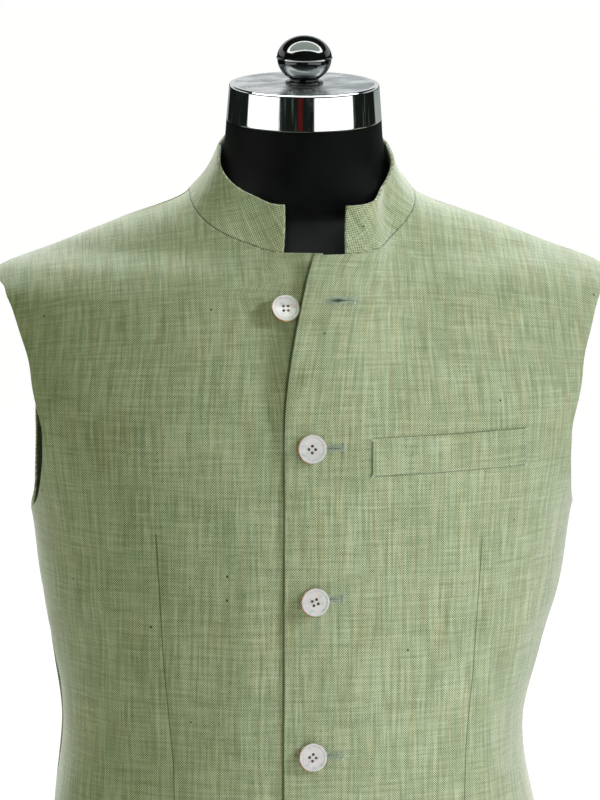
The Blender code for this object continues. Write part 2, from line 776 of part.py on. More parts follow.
def cap_profile():
    edge = CAP_EDGE
    return [
        (CAP_FOOT_RADIUS - 0.0006, SEAM_GAP),
        (CAP_FOOT_RADIUS, SEAM_GAP + 0.0006),
        (CAP_TOP_RADIUS, CAP_HEIGHT - edge),
        (CAP_TOP_RADIUS - edge * 0.3, CAP_HEIGHT - edge * 0.3),
        (CAP_TOP_RADIUS - edge, CAP_HEIGHT),
        (CAP_TOP_RADIUS * 0.5, CAP_HEIGHT + 0.0002),
    ]


def knob_profile():
    """A rose, a waist and a ball in two halves with a groove between them."""
    foot = CAP_HEIGHT + 0.0002 + SEAM_GAP
    waist = foot + KNOB_ROSE_HEIGHT + 0.0016
    centre = foot + KNOB_HEIGHT * 0.52
    below, above = centre - waist, foot + KNOB_HEIGHT - centre
    profile = [
        (KNOB_ROSE_RADIUS, foot),
        (KNOB_ROSE_RADIUS, foot + KNOB_ROSE_HEIGHT * 0.6),
        (KNOB_ROSE_RADIUS - 0.001, foot + KNOB_ROSE_HEIGHT),
        (KNOB_FOOT_RADIUS, foot + KNOB_ROSE_HEIGHT + 0.0004),
    ]
    start = math.acos(KNOB_FOOT_RADIUS / KNOB_RADIUS)
    for turn in np.linspace(start, 0.06, 6):
        profile.append((KNOB_RADIUS * math.cos(turn), centre - below * math.sin(turn) / math.sin(start)))
    profile.append((KNOB_RADIUS - KNOB_GROOVE, centre))
    for turn in np.linspace(0.06, math.pi / 2 - 0.12, 7):
        profile.append((KNOB_RADIUS * 0.985 * math.cos(turn), centre + above * math.sin(turn)))
    return profile


def make_neck_fittings(chrome):
    axis = neck_axis()
    turned("neck_cap", cap_profile(), CAP_SEGMENTS, chrome, axis)
    turned("cap_knob", knob_profile(), KNOB_SEGMENTS, chrome, axis)


def make_stand(chrome):
    base = [
        (BASE_RADIUS - 0.001, 0.0),
        (BASE_RADIUS, 0.001),
        (BASE_RADIUS, BASE_EDGE_HEIGHT - 0.002),
        (BASE_RADIUS - 0.002, BASE_EDGE_HEIGHT),
        (BASE_RADIUS * 0.55, BASE_CROWN),
        (BOSS_RADIUS + 0.003, BASE_CROWN + 0.002),
        (BOSS_RADIUS, BASE_CROWN + 0.005),
        (BOSS_RADIUS - 0.002, BOSS_HEIGHT - 0.002),
        (BOSS_RADIUS - 0.004, BOSS_HEIGHT),
    ]
    foot_z = SHOULDER_TIP_Z + FORM_FOOT
    flange_low = foot_z - SEAM_GAP - FLANGE_HEIGHT
    pole_low, pole_high = BOSS_HEIGHT + SEAM_GAP, flange_low - SEAM_GAP
    flange = [
        (FLANGE_RADIUS * 0.62, flange_low),
        (FLANGE_RADIUS * 0.66, flange_low + FLANGE_HEIGHT * 0.4),
        (FLANGE_RADIUS, flange_low + FLANGE_HEIGHT * 0.6),
        (FLANGE_RADIUS, flange_low + FLANGE_HEIGHT),
    ]
    turned("stand_base", base, BASE_SEGMENTS, chrome)
    turned("stand_pole", [(POLE_RADIUS, pole_low), (POLE_RADIUS, pole_high)], POLE_SEGMENTS, chrome)
    turned("stand_flange", flange, POLE_SEGMENTS, chrome)


def main():
    for old in list(bpy.data.objects):
        bpy.data.objects.remove(old)
    linen = material("linen", LINEN, 0.85)
    shell = material("shell", SHELL, 0.25)
    black = material("form_black", FORM_BLACK, 0.6)
    chrome = material("chrome", CHROME, 0.08, 1.0)
    make_panels(linen)
    make_collar(linen)
    make_welt(linen)
    make_buttons(shell)
    make_form(black)
    make_neck_fittings(chrome)
    make_stand(chrome)


main()
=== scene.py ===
"""A sleeveless stand-collar jacket in slubbed linen on its dress form.

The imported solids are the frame. This script lays the finished cloth, its
sewing, the buttons, the form's fittings and every finish over that frame.
Metres throughout. A "rise" is a height from the tip of the jacket's shoulder.
"""

import itertools
import json
import logging
import math
from dataclasses import dataclass
from enum import Enum
from functools import cached_property, partial, reduce
from typing import Callable, NamedTuple, Sequence

import bmesh
import bpy
import numpy as np
from mathutils import Matrix, Vector

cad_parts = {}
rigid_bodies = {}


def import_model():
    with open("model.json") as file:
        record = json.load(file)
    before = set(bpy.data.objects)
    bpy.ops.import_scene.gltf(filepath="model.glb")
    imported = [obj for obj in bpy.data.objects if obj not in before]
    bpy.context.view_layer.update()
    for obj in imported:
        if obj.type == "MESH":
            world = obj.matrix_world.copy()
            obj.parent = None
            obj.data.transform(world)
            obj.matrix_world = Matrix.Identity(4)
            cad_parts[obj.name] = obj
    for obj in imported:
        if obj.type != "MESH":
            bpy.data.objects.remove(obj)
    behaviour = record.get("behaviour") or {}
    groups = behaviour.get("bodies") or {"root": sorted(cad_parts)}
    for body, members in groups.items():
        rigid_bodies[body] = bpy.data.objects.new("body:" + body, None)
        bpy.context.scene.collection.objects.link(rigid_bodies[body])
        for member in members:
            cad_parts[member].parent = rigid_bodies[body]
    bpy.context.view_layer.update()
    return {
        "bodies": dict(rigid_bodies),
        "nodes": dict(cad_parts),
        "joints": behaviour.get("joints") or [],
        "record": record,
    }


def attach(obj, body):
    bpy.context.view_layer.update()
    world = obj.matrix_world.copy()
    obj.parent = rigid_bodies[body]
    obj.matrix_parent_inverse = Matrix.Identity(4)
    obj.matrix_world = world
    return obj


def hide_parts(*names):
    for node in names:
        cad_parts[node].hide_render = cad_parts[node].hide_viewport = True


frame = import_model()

LOG = logging.getLogger("jacket")
ROOT = "root"
SHOULDER_TIP_Z = 0.820
SEAM_GAP = 0.0003
CLOTH = 0.0020

WHITE = (1.0, 1.0, 1.0)
AWAY = 0.05

Array = np.ndarray
Pair = tuple[float, float]
Triple = tuple[float, float, float]
Feeds = dict[str | int, object]
Material, Mesh, Object = bpy.types.Material, bpy.types.Mesh, bpy.types.Object
Node, Socket, Tree = bpy.types.Node, bpy.types.NodeSocket, bpy.types.NodeTree


class Hand(Enum):
    """The wearer's side that a piece belongs to."""

    LEFT = 1
    RIGHT = -1


class Side(Enum):
    """Which half of the body a panel covers."""

    FRONT = "front"
    BACK = "back"


# Measures of the jacket and the surface they give


class Section(NamedTuple):
    """A horizontal section of the jacket's outer face."""

    rise: float
    half_width: float
    front: float
    back: float
    squareness: float


class Reach(NamedTuple):
    """How far out from the middle an edge is at a rise."""

    rise: float
    out: float


class Fold(NamedTuple):
    """A soft fold: its middle, its half sizes, its slant in degrees and its depth."""

    out: float
    rise: float
    length: float
    width: float
    slant: float
    depth: float


class Collar(NamedTuple):
    """A collar measure at its middle front, its side and its middle back."""

    front: float
    side: float
    back: float


def listed(kind: type, *rows: tuple) -> tuple:
    """Rows of a table as named tuples of one kind."""
    return tuple(kind(*row) for row in rows)


def by_panel(**panels: tuple) -> dict[str, tuple[Fold, ...]]:
    """Folds by the end of the names of the panels that they are on."""
    return {end: listed(Fold, *rows) for end, rows in panels.items()}


SECTIONS = listed(
    Section,
    (-0.6400, 0.1880, 0.1330, 0.1370, 2.40),
    (-0.5830, 0.1880, 0.1330, 0.1370, 2.40),
    (-0.5000, 0.1840, 0.1300, 0.1340, 2.40),
    (-0.3900, 0.1730, 0.1230, 0.1170, 2.35),
    (-0.3250, 0.1670, 0.1210, 0.1060, 2.30),
    (-0.2700, 0.1755, 0.1250, 0.1080, 2.30),
    (-0.2150, 0.1860, 0.1300, 0.1140, 2.35),
    (-0.1720, 0.1915, 0.1325, 0.1180, 2.40),
    (-0.1120, 0.2160, 0.1320, 0.1220, 2.35),
    (-0.0600, 0.2360, 0.1230, 0.1210, 2.15),
    (-0.0180, 0.2330, 0.1070, 0.1130, 1.90),
    (0.0000, 0.2130, 0.0950, 0.1050, 1.70),
    (0.0165, 0.1710, 0.0800, 0.0950, 1.50),
    (0.0350, 0.1240, 0.0720, 0.0820, 1.50),
    (0.0530, 0.0793, 0.0660, 0.0700, 1.80),
    (0.0750, 0.0700, 0.0620, 0.0630, 2.00),
)

FRONT_ARMHOLE = listed(
    Reach,
    (0.0000, 0.2130),
    (-0.0110, 0.2085),
    (-0.0380, 0.1985),
    (-0.0680, 0.1905),
    (-0.0990, 0.1843),
    (-0.1200, 0.1830),
    (-0.1410, 0.1845),
    (-0.1600, 0.1880),
    (-0.1720, 0.1915),
)
BACK_ARMHOLE = listed(
    Reach,
    (0.0000, 0.2130),
    (-0.0120, 0.2080),
    (-0.0400, 0.1995),
    (-0.0800, 0.1925),
    (-0.1200, 0.1890),
    (-0.1500, 0.1893),
    (-0.1660, 0.1903),
    (-0.1720, 0.1915),
)

FOLDS = by_panel(
    front_right=(
        (0.150, -0.262, 0.070, 0.016, 28, -0.0022),
        (0.128, -0.300, 0.085, 0.018, 20, 0.0018),
        (0.160, -0.330, 0.060, 0.015, 35, -0.0018),
        (0.120, -0.395, 0.080, 0.018, -12, -0.0016),
    ),
    front_left=(
        (0.155, -0.225, 0.060, 0.015, 24, -0.0018),
        (0.140, -0.300, 0.090, 0.017, 14, -0.0020),
        (0.125, -0.360, 0.070, 0.018, -15, 0.0016),
    ),
    back_right=(
        (0.130, -0.270, 0.080, 0.018, 24, -0.0022),
        (0.095, -0.345, 0.090, 0.020, 8, 0.0018),
    ),
    back_left=(
        (0.140, -0.285, 0.080, 0.018, 26, -0.0022),
        (0.100, -0.365, 0.080, 0.020, 4, -0.0018),
    ),
    left=((0.172, -0.335, 0.070, 0.050, 0, -0.0080),),
    right=((0.172, -0.350, 0.080, 0.045, 0, 0.0055),),
)

# Small creases and hollows that only the finished cloth has
CREASES = by_panel(
    front_right=(
        (0.168, -0.205, 0.030, 0.006, 40, -0.0007),
        (0.150, -0.225, 0.040, 0.008, 52, 0.0007),
        (0.140, -0.345, 0.035, 0.007, 60, -0.0007),
        (0.035, -0.075, 0.060, 0.014, 0, -0.0012),
        (0.090, -0.150, 0.060, 0.022, 12, -0.0007),
        (0.044, -0.262, 0.110, 0.019, 0, 0.0030),
    ),
    front_left=(
        (0.165, -0.200, 0.030, 0.006, -38, -0.0007),
        (0.150, -0.255, 0.035, 0.007, -50, 0.0007),
        (0.030, -0.200, 0.060, 0.012, 6, -0.0006),
        (0.090, -0.060, 0.050, 0.020, 30, -0.0007),
    ),
    back_right=(
        (0.060, -0.120, 0.080, 0.020, 14, -0.0009),
        (0.150, -0.210, 0.035, 0.008, 48, -0.0008),
        (0.060, -0.420, 0.070, 0.018, 0, 0.0008),
    ),
    back_left=(
        (0.070, -0.140, 0.080, 0.018, 10, -0.0009),
        (0.155, -0.215, 0.035, 0.008, 44, -0.0008),
        (0.050, -0.440, 0.070, 0.018, 0, 0.0008),
    ),
)


def smooth_curve(xs: Sequence[float], ys: Sequence[float]) -> Callable[[Array], Array]:
    """A monotone cubic through points.

    Args:
        xs: Rising positions.
        ys: The value at each position.

    Returns:
        A function that gives the value at any position, held at the ends.
    """
    xs, ys = np.array(xs, float), np.array(ys, float)
    steps = np.diff(xs)
    slopes = np.diff(ys) / steps
    tangents = np.zeros(len(xs))
    tangents[0], tangents[-1] = slopes[0], slopes[-1]
    for i in range(1, len(xs) - 1):
        before, after = slopes[i - 1], slopes[i]
        if before * after > 0:
            heavy = 2 * steps[i] + steps[i - 1]
            light = steps[i] + 2 * steps[i - 1]
            tangents[i] = (heavy + light) / (heavy / before + light / after)

    def at(x: Array) -> Array:
        """The curve's value at x.

        Args:
            x: Positions to read.

        Returns:
            The value at each.
        """
        x = np.clip(np.asarray(x, float), xs[0], xs[-1])
        i = np.clip(np.searchsorted(xs, x) - 1, 0, len(xs) - 2)
        t = (x - xs[i]) / steps[i]
        keep = (1 + 2 * t) * (1 - t) ** 2
        reach = t * t * (3 - 2 * t)
        bend = t * (1 - t) * steps[i]
        return keep * ys[i] + reach * ys[i + 1] + bend * ((1 - t) * tangents[i] - t * tangents[i + 1])

    return at


def full_turn(count: int) -> Array:
    """Angles once round, evenly spaced."""
    return np.linspace(0, 2 * math.pi, count, endpoint=False)


def column(table: Sequence[NamedTuple], name: str) -> Callable[[Array], Array]:
    """One column of a table against its rise, as a smooth function."""
    rows = sorted(table, key=lambda row: row.rise)
    return smooth_curve([row.rise for row in rows], [getattr(row, name) for row in rows])


def signed_power(value: Array, power: Array) -> Array:
    """A power that keeps the sign of its base."""
    return np.sign(value) * np.abs(value) ** power


def fade(value: Array, start: float, end: float) -> Array:
    """0 up to start, 1 past end, and smooth between."""
    t = np.clip((value - start) / (end - start), 0, 1)
    return t * t * (3 - 2 * t)


def unit(vectors: Array) -> Array:
    """Vectors of length one."""
    return vectors / np.maximum(np.linalg.norm(vectors, axis=-1, keepdims=True), 1e-12)


def along(points: Array) -> Array:
    """The distance travelled at each point of a line."""
    return np.concatenate([[0], np.cumsum(np.linalg.norm(np.diff(points, axis=0), axis=1))])


class Patch(NamedTuple):
    """Points of cloth, their outward normals and their place on the cut cloth."""

    points: Array
    normals: Array
    grain: Array


@dataclass(frozen=True)
class JacketShape:
    """The surface that the jacket's panels lie on, and what moves them off it."""

    hem: float = -0.583
    armpit: float = -0.172
    front_neck: float = 0.0165
    side_neck: float = 0.053
    back_neck: float = 0.073
    neck_half_width: float = 0.0793
    overlap: float = 0.0192
    underlap: float = 0.0260
    lap_lift: float = 0.0028
    lap_fade: Pair = (0.028, 0.060)
    opens_from: float = -0.105
    left_spread: float = 0.0220
    left_spread_power: float = 1.8
    left_spread_fade: Pair = (0.0, 0.077)
    right_spread: float = 0.0165
    right_spread_full: float = 0.75
    right_spread_fade: Pair = (0.0, 0.045)
    flap_lift: float = 0.0062
    left_gape: float = 0.0140
    right_gape: float = 0.0080
    left_gape_fade: Pair = (0.010, 0.065)
    right_gape_fade: Pair = (-0.014, 0.030)
    hem_corner: float = 0.018
    hem_corner_reach: float = 0.082
    hem_waves: int = 5
    hem_wave_depth: float = 0.0022
    hem_wave_reach: float = 0.20
    unevenness: float = 0.00022
    waves: tuple[tuple[float, ...], ...] = ((105, 38, 1.0, 1.0), (-61, 92, 1.7, 1.0), (173, 121, 0.6, 0.6))
    shoulder_turn: Pair = (-0.10, -0.02)
    shoulder_stretch: float = 1.06
    shoulder_run: float = 0.5
    shoulder_depth: float = 0.132
    arc_rows: int = 140
    arc_columns: int = 160
    armhole_steps: int = 400
    neck_steps: int = 240
    slope_step: float = 0.0004

    half_width = staticmethod(column(SECTIONS, "half_width"))
    front = staticmethod(column(SECTIONS, "front"))
    back = staticmethod(column(SECTIONS, "back"))
    squareness = staticmethod(column(SECTIONS, "squareness"))

    def angle_at(self, out: Array, rise: Array) -> Array:
        """The angle at which a section is that far out from the middle."""
        share = np.clip(out / self.half_width(rise), -1, 1)
        return np.arcsin(signed_power(share, self.squareness(rise) / 2))

    def skin(self, side: Side, angle: Array, rise: Array) -> Array:
        """Points on the plain outer face.

        Args:
            side: Front or back.
            angle: Angle round the section of each point.
            rise: Rise of each point.

        Returns:
            A point for each angle and rise, in the shoulder frame.
        """
        power = 2 / self.squareness(rise)
        depth = -self.front(rise) if side is Side.FRONT else self.back(rise)
        x = self.half_width(rise) * signed_power(np.sin(angle), power)
        y = depth * signed_power(np.cos(angle), power)
        return np.stack([x, y, rise + np.zeros_like(x)], axis=-1)

    def skin_normal(self, side: Side, points: Array) -> Array:
        """Outward unit normals of the plain outer face.

        Args:
            side: Front or back.
            points: Points on that face.

        Returns:
            A normal for each point.
        """
        x, y, rise = points[..., 0], points[..., 1], points[..., 2]

        def depth(height: Array) -> Array:
            """Front or back depth at a rise."""
            return self.front(height) if side is Side.FRONT else self.back(height)

        def level(height: Array) -> Array:
            """How far outside the section at that height the point is; 1 is on it."""
            n = self.squareness(height)
            return np.abs(x / self.half_width(height)) ** n + np.abs(y / depth(height)) ** n

        n, wide, deep, step = self.squareness(rise), self.half_width(rise), depth(rise), self.slope_step
        slopes = [
            n * signed_power(x / wide, n - 1) / wide,
            n * signed_power(y / deep, n - 1) / deep,
            (level(rise + step) - level(rise - step)) / (2 * step),
        ]
        return unit(np.stack(slopes, axis=-1))

    def folds_at(self, name: str, folds: dict[str, tuple[Fold, ...]], out: Array, rise: Array) -> Array:
        """How far the soft folds of a panel move its cloth outwards.

        Args:
            name: The panel's name.
            folds: Folds by the end of the panels' names.
            out: How far out from the middle each point is.
            rise: Rise of each point.

        Returns:
            Metres outwards at each point.
        """
        height = np.zeros_like(out)
        for fold in itertools.chain(*(rows for end, rows in folds.items() if name.endswith(end))):
            slant = math.radians(fold.slant)
            across = (out - fold.out) * math.cos(slant) + (rise - fold.rise) * math.sin(slant)
            length = (rise - fold.rise) * math.cos(slant) - (out - fold.out) * math.sin(slant)
            height += fold.depth * np.exp(-((across / fold.width) ** 2) - (length / fold.length) ** 2)
        return height

    def hem_flutes(self, angle: Array, rise: Array) -> Array:
        """Shallow flutes that grow towards the hem.

        Args:
            angle: Angle round the section of each point.
            rise: Rise of each point.

        Returns:
            Metres outwards at each point.
        """
        grow = np.clip(1 - (rise - self.hem) / self.hem_wave_reach, 0, 1) ** 2
        ends = np.sin(np.clip(angle, 0, math.pi / 2) * 2)
        return self.hem_wave_depth * grow * ends * np.sin(angle * self.hem_waves * 2)

    def waver(self, name: str, out: Array, rise: Array) -> Array:
        """The slight unevenness of pressed cloth, different on each panel.

        Args:
            name: The panel's name.
            out: How far out from the middle each point is.
            rise: Rise of each point.

        Returns:
            Metres outwards at each point.
        """
        shift = float(sum(ord(letter) for letter in name) % 17)
        height = 0.0
        for across, upward, start, depth in self.waves:
            height = height + np.sin(out * across + rise * upward + start * shift) * depth
        calm = np.sin(np.clip(out / 0.16, 0, 1) * math.pi)
        return self.unevenness * height * calm

    @cached_property
    def arc_table(self) -> dict[Side, tuple[Array, Array, Array]]:
        """Arc length round each section, by rise and angle.

        Returns:
            For each side its rises, its angles and the lengths there.
        """
        rises = np.linspace(SECTIONS[0].rise, SECTIONS[-1].rise, self.arc_rows)
        angles = np.linspace(0, math.pi / 2, self.arc_columns)
        made = {}
        for side in Side:
            arcs = [along(self.skin(side, angles, np.full_like(angles, rise))) for rise in rises]
            made[side] = (rises, angles, np.array(arcs))
        return made

    def arc(self, side: Side, angle: Array, rise: Array) -> Array:
        """Arc length from the middle to an angle, signed.

        Args:
            side: Front or back.
            angle: Angle round the section of each point.
            rise: Rise of each point.

        Returns:
            Metres round the section to each point.
        """
        rises, angles, arcs = self.arc_table[side]
        row = np.clip((rise - rises[0]) / (rises[1] - rises[0]), 0, len(rises) - 1.001)
        col = np.clip(np.abs(angle) / angles[1], 0, len(angles) - 1.001)
        i, j = row.astype(int), col.astype(int)
        s, t = row - i, col - j
        low = arcs[i, j] * (1 - t) + arcs[i, j + 1] * t
        high = arcs[i + 1, j] * (1 - t) + arcs[i + 1, j + 1] * t
        return np.sign(angle) * (low * (1 - s) + high * s)

    def opened(self, hand: Hand, out: Array, rise: Array) -> tuple[Array, Array]:
        """How far a front spreads outwards at the open top, and how far it stands off.

        Args:
            hand: The wearer's side.
            out: How far out from the middle each point is.
            rise: Rise of each point.

        Returns:
            The spread and the stand-off of each point, in metres.
        """
        opening = np.clip((rise - self.opens_from) / (self.front_neck - self.opens_from), 0, 1)
        gape = opening**0.8 * (1 - 0.3 * opening)
        if hand is Hand.LEFT:
            near = 1 - fade(out, *self.left_spread_fade)
            spread = self.left_spread * opening**self.left_spread_power * near
            stand_off = (self.lap_lift + self.flap_lift * opening**1.5) * (1 - fade(out, *self.lap_fade))
            stand_off += self.left_gape * gape * (1 - fade(out, *self.left_gape_fade))
        else:
            near = 1 - fade(out, *self.right_spread_fade)
            spread = self.right_spread * fade(opening, 0, self.right_spread_full) * near
            stand_off = self.right_gape * gape * (1 - fade(out, *self.right_gape_fade))
        return spread, stand_off

    def place(self, side: Side, hand: Hand, angle: Array, rise: Array) -> Patch:
        """Puts cloth on the body, with its lap, folds and grain.

        Args:
            side: Front or back.
            hand: The wearer's side, which decides the lap and the folds.
            angle: Angle round the section of each point.
            rise: Rise of each point.

        Returns:
            The cloth on the +X side, in the shoulder frame.
        """
        angle, rise = np.asarray(angle, float), np.asarray(rise, float)
        name = f"{side.value}_{hand.name.lower()}"
        points = self.skin(side, angle, rise)
        out = points[..., 0].copy()
        lift = self.folds_at(name, FOLDS, out, rise) + self.hem_flutes(angle, rise)
        lift = lift + self.folds_at(name, CREASES, out, rise) + self.waver(name, out, rise)
        stand_off = np.zeros_like(lift)
        if side is Side.FRONT:
            spread, stand_off = self.opened(hand, out, rise)
            moved = self.angle_at(out + spread, rise)
            points = self.skin(side, np.where(spread > 0, moved, angle), rise)
        normals = self.skin_normal(side, points)
        high = fade(rise, *self.shoulder_turn)
        across = self.arc(side, angle, rise) * (1 - high) + out * self.shoulder_stretch * high
        upward = rise + self.shoulder_run * high * (self.shoulder_depth - np.abs(points[..., 1]))
        points = points + normals * lift[..., None]
        points[..., :2] += normals[..., :2] * stand_off[..., None]
        points[..., 1] += -SEAM_GAP / 2 if side is Side.FRONT else SEAM_GAP / 2
        if side is Side.BACK:
            points[..., 0] += SEAM_GAP / 2
        return Patch(points, normals, np.stack([across, upward], axis=-1))

    def armhole_line(self, table: Sequence[Reach]) -> tuple[Array, Array]:
        """Dense angles and rises up an armhole's edge, armpit first.

        Args:
            table: How far out the edge lies at its rises.

        Returns:
            The angles and the rises.
        """
        rises = np.array([row.rise for row in reversed(table)])
        outs = np.array([row.out for row in reversed(table)])
        angles = self.angle_at(outs, rises)
        angles[0] = angles[-1] = math.pi / 2
        chord = np.hypot(np.diff(outs), np.diff(rises)) + 0.25 * np.abs(np.diff(angles)) * outs[1:]
        reach = np.concatenate([[0], np.cumsum(chord)])
        dense = np.linspace(0, reach[-1], self.armhole_steps)
        return smooth_curve(reach, angles)(dense), smooth_curve(reach, rises)(dense)

    def neckline(self, side: Side) -> tuple[Array, Array]:
        """Dense angles and rises from the middle to the side of the neck.

        Args:
            side: Front or back.

        Returns:
            The angles and the rises.
        """
        turn = np.linspace(0, math.pi / 2, self.neck_steps)
        if side is Side.BACK:
            return turn, self.side_neck + (self.back_neck - self.side_neck) * np.cos(turn)
        rises = self.front_neck + (self.side_neck - self.front_neck) * (1 - np.cos(turn))
        angles = self.angle_at(self.neck_half_width * np.sin(turn), rises)
        angles[-1] = math.pi / 2
        return angles, rises

    def stations(self, side: Side, line: tuple[Array, Array], share: Array) -> tuple[Array, Array]:
        """Angles and rises at shares of the length of a line on the skin.

        Args:
            side: Front or back.
            line: Angles and rises along the line.
            share: Shares of its length, 0 to 1.

        Returns:
            The angle and the rise at each share.
        """
        angles, rises = line
        reach = along(self.skin(side, angles, rises))
        spots = np.interp(share * reach[-1], reach, np.linspace(0, 1, len(angles)))
        dense = np.linspace(0, 1, len(angles))
        return np.interp(spots, dense, angles), np.interp(spots, dense, rises)


SHAPE = JacketShape()
ROLL_STEPS = (0.0, 0.00025, 0.0006, 0.0011, 0.0018, 0.0030)


def crowded(size: float, count: int, scale: float = 1.0) -> Array:
    """Places across a size, crowded at its ends where the cloth turns."""
    steps = np.array(ROLL_STEPS) / scale
    return np.concatenate([steps, np.linspace(steps[-1], size - steps[-1], count)[1:-1], size - steps[::-1]])


def to_world(hand: Hand, points: Array) -> Array:
    """Mirrors a right-hand piece to -X and lifts it to the shoulder's height.

    Args:
        hand: The wearer's side.
        points: Points of the right-hand piece, in the shoulder frame.

    Returns:
        The points in the row frame.
    """
    points = np.array(points, float)
    points[..., 0] *= hand.value
    points[..., 2] += SHOULDER_TIP_Z
    return points


def mirrored(hand: Hand, normals: Array) -> Array:
    """Normals of a piece on that hand."""
    return normals * np.array([hand.value, 1, 1])


# Making meshes


def linked(name: str, data: object) -> Object:
    """A new object in the scene.

    Args:
        name: The object's name.
        data: Its mesh, curve, lamp or camera.

    Returns:
        The object.
    """
    made = bpy.data.objects.new(name, data)
    bpy.context.scene.collection.objects.link(made)
    return made


def from_work(name: str, work: bmesh.types.BMesh) -> Mesh:
    """A mesh of what was worked on, which is let go.

    Args:
        name: The mesh's name.
        work: What was worked on.

    Returns:
        The mesh.
    """
    mesh = bpy.data.meshes.new(name)
    work.to_mesh(mesh)
    work.free()
    return mesh


def add_piece(name: str, mesh: Mesh, finish: Material | None = None) -> Object:
    """Links a new object with a mesh in place, and gives it a material.

    Args:
        name: The piece's name.
        mesh: Its mesh, already in the row frame.
        finish: Its material, if the mesh has none yet.

    Returns:
        The new object.
    """
    if finish is not None:
        mesh.materials.clear()
        mesh.materials.append(finish)
    mesh.shade_smooth()
    return linked(name, mesh)


def settle(piece: Object, slot: str, *nodes: str) -> Object:
    """Rides a piece on the frame and hides the CAD nodes that it stands for.

    Args:
        piece: The finished piece.
        slot: Not used.
        nodes: The CAD nodes that it stands for.

    Returns:
        The same piece.
    """
    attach(piece, ROOT)
    if nodes:
        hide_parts(*nodes)
    LOG.info("%s: %d faces", piece.name, len(piece.data.polygons))
    return piece


def put_layer(mesh: Mesh, name: str, values: Array) -> None:
    """Writes a value by point as an attribute."""
    made = mesh.attributes.new(name, "FLOAT", "POINT")
    made.data.foreach_set("value", values.astype(np.float32).ravel())


def put_grain(mesh: Mesh, grain: Array) -> None:
    """Writes a cloth's grain as its UV map.

    Args:
        mesh: The cloth's mesh.
        grain: Place on the cut cloth of each vertex.
    """
    corners = np.zeros(len(mesh.loops), int)
    mesh.loops.foreach_get("vertex_index", corners)
    grid = mesh.uv_layers.new(name="Grain")
    grid.data.foreach_set("uv", grain[corners].astype(np.float32).ravel())


def wall_mesh(name: str, outer: Array, inner: Array, grain: Array, seam: Array | float = AWAY) -> Mesh:
    """A closed sheet between two grids of points.

    Args:
        name: The mesh's name.
        outer: Grid of points on the face that shows.
        inner: The same grid on the lining face.
        grain: The place of each point on the cut cloth.
        seam: Distance of each point from a seam, or from the lap's edge; the linen's painted shade follows
            it.

    Returns:
        The mesh, its faces outwards.
    """
    rows, columns = outer.shape[:2]
    count = rows * columns
    points = np.concatenate([outer.reshape(-1, 3), inner.reshape(-1, 3)])
    index = np.arange(count).reshape(rows, columns)
    corners = [index[:-1, :-1], index[:-1, 1:], index[1:, 1:], index[1:, :-1]]
    shell = np.stack([c.ravel() for c in corners], axis=1)
    middle = len(shell) // 2
    a, b, c, _ = points[shell[middle]]
    away = points[shell[middle, 0]] - points[shell[middle, 0] + count]
    turned = np.dot(np.cross(b - a, c - a), away) < 0
    if turned:
        shell = shell[:, ::-1]
    lining = shell[:, ::-1] + count
    border = np.concatenate([index[0, :-1], index[:-1, -1], index[-1, :0:-1], index[:0:-1, 0]])
    ahead = np.roll(border, -1)
    rim = np.stack([ahead, border, border + count, ahead + count], axis=1)
    if turned:
        rim = rim[:, ::-1]
    faces = np.concatenate([shell, lining, rim])
    mesh = bpy.data.meshes.new(name)
    mesh.vertices.add(len(points))
    mesh.vertices.foreach_set("co", points.astype(np.float32).ravel())
    mesh.loops.add(faces.size)
    mesh.loops.foreach_set("vertex_index", faces.astype(np.int32).ravel())
    mesh.polygons.add(len(faces))
    mesh.polygons.foreach_set("loop_start", np.arange(0, faces.size, 4, dtype=np.int32))
    mesh.update(calc_edges=True)
    mesh.validate()
    put_grain(mesh, np.concatenate([grain.reshape(-1, 2)] * 2))
    # The seam attribute tells the linen where to paint shade.
    put_layer(mesh, "seam", np.tile(np.broadcast_to(seam, (rows, columns)).ravel(), 2))
    return mesh


def edge_distance(upward: Array, height: float, across: Array, width: float) -> Array:
    """Distance from the nearest edge of a strip, for a grid of places on it."""
    level = np.minimum(upward, height - upward)[:, None]
    return np.minimum(level, np.minimum(across, width - across)[None, :])


def roll_depth(distance: Array, radius: float) -> Array:
    """How far a turned edge of that radius dips at a distance from the edge."""
    inside = np.clip(radius - distance, 0, radius)
    return radius - np.sqrt(np.maximum(radius**2 - inside**2, 0))


def rolled_wall(
    name: str, cloth: Patch, distance: Array, thickness: float, seam: Array | float = AWAY
) -> Mesh:
    """A sheet of cloth whose edges are turned round.

    Args:
        name: The mesh's name.
        cloth: The sheet's outer face.
        distance: Distance of each point from the nearest edge.
        thickness: The sheet's thickness.
        seam: Distance of each point from a seam, or from the lap's edge; the linen's painted shade follows
            it.

    Returns:
        The closed mesh.
    """
    dip = roll_depth(distance, thickness * 0.48)[..., None]
    outer = cloth.points - cloth.normals * dip
    inner = cloth.points - cloth.normals * (thickness - dip)
    return wall_mesh(name, outer, inner, cloth.grain, seam)


def ring_faces(rings: int, count: int) -> list[tuple[int, ...]]:
    """The quads that join rings of points, each ring to the next.

    Args:
        rings: How many rings there are.
        count: How many points each has.

    Returns:
        Corners of each quad.
    """
    made = []
    for ring in range(rings - 1):
        low, high = ring * count, (ring + 1) * count
        for i in range(count):
            j = (i + 1) % count
            made.append((low + i, low + j, high + j, high + i))
    return made


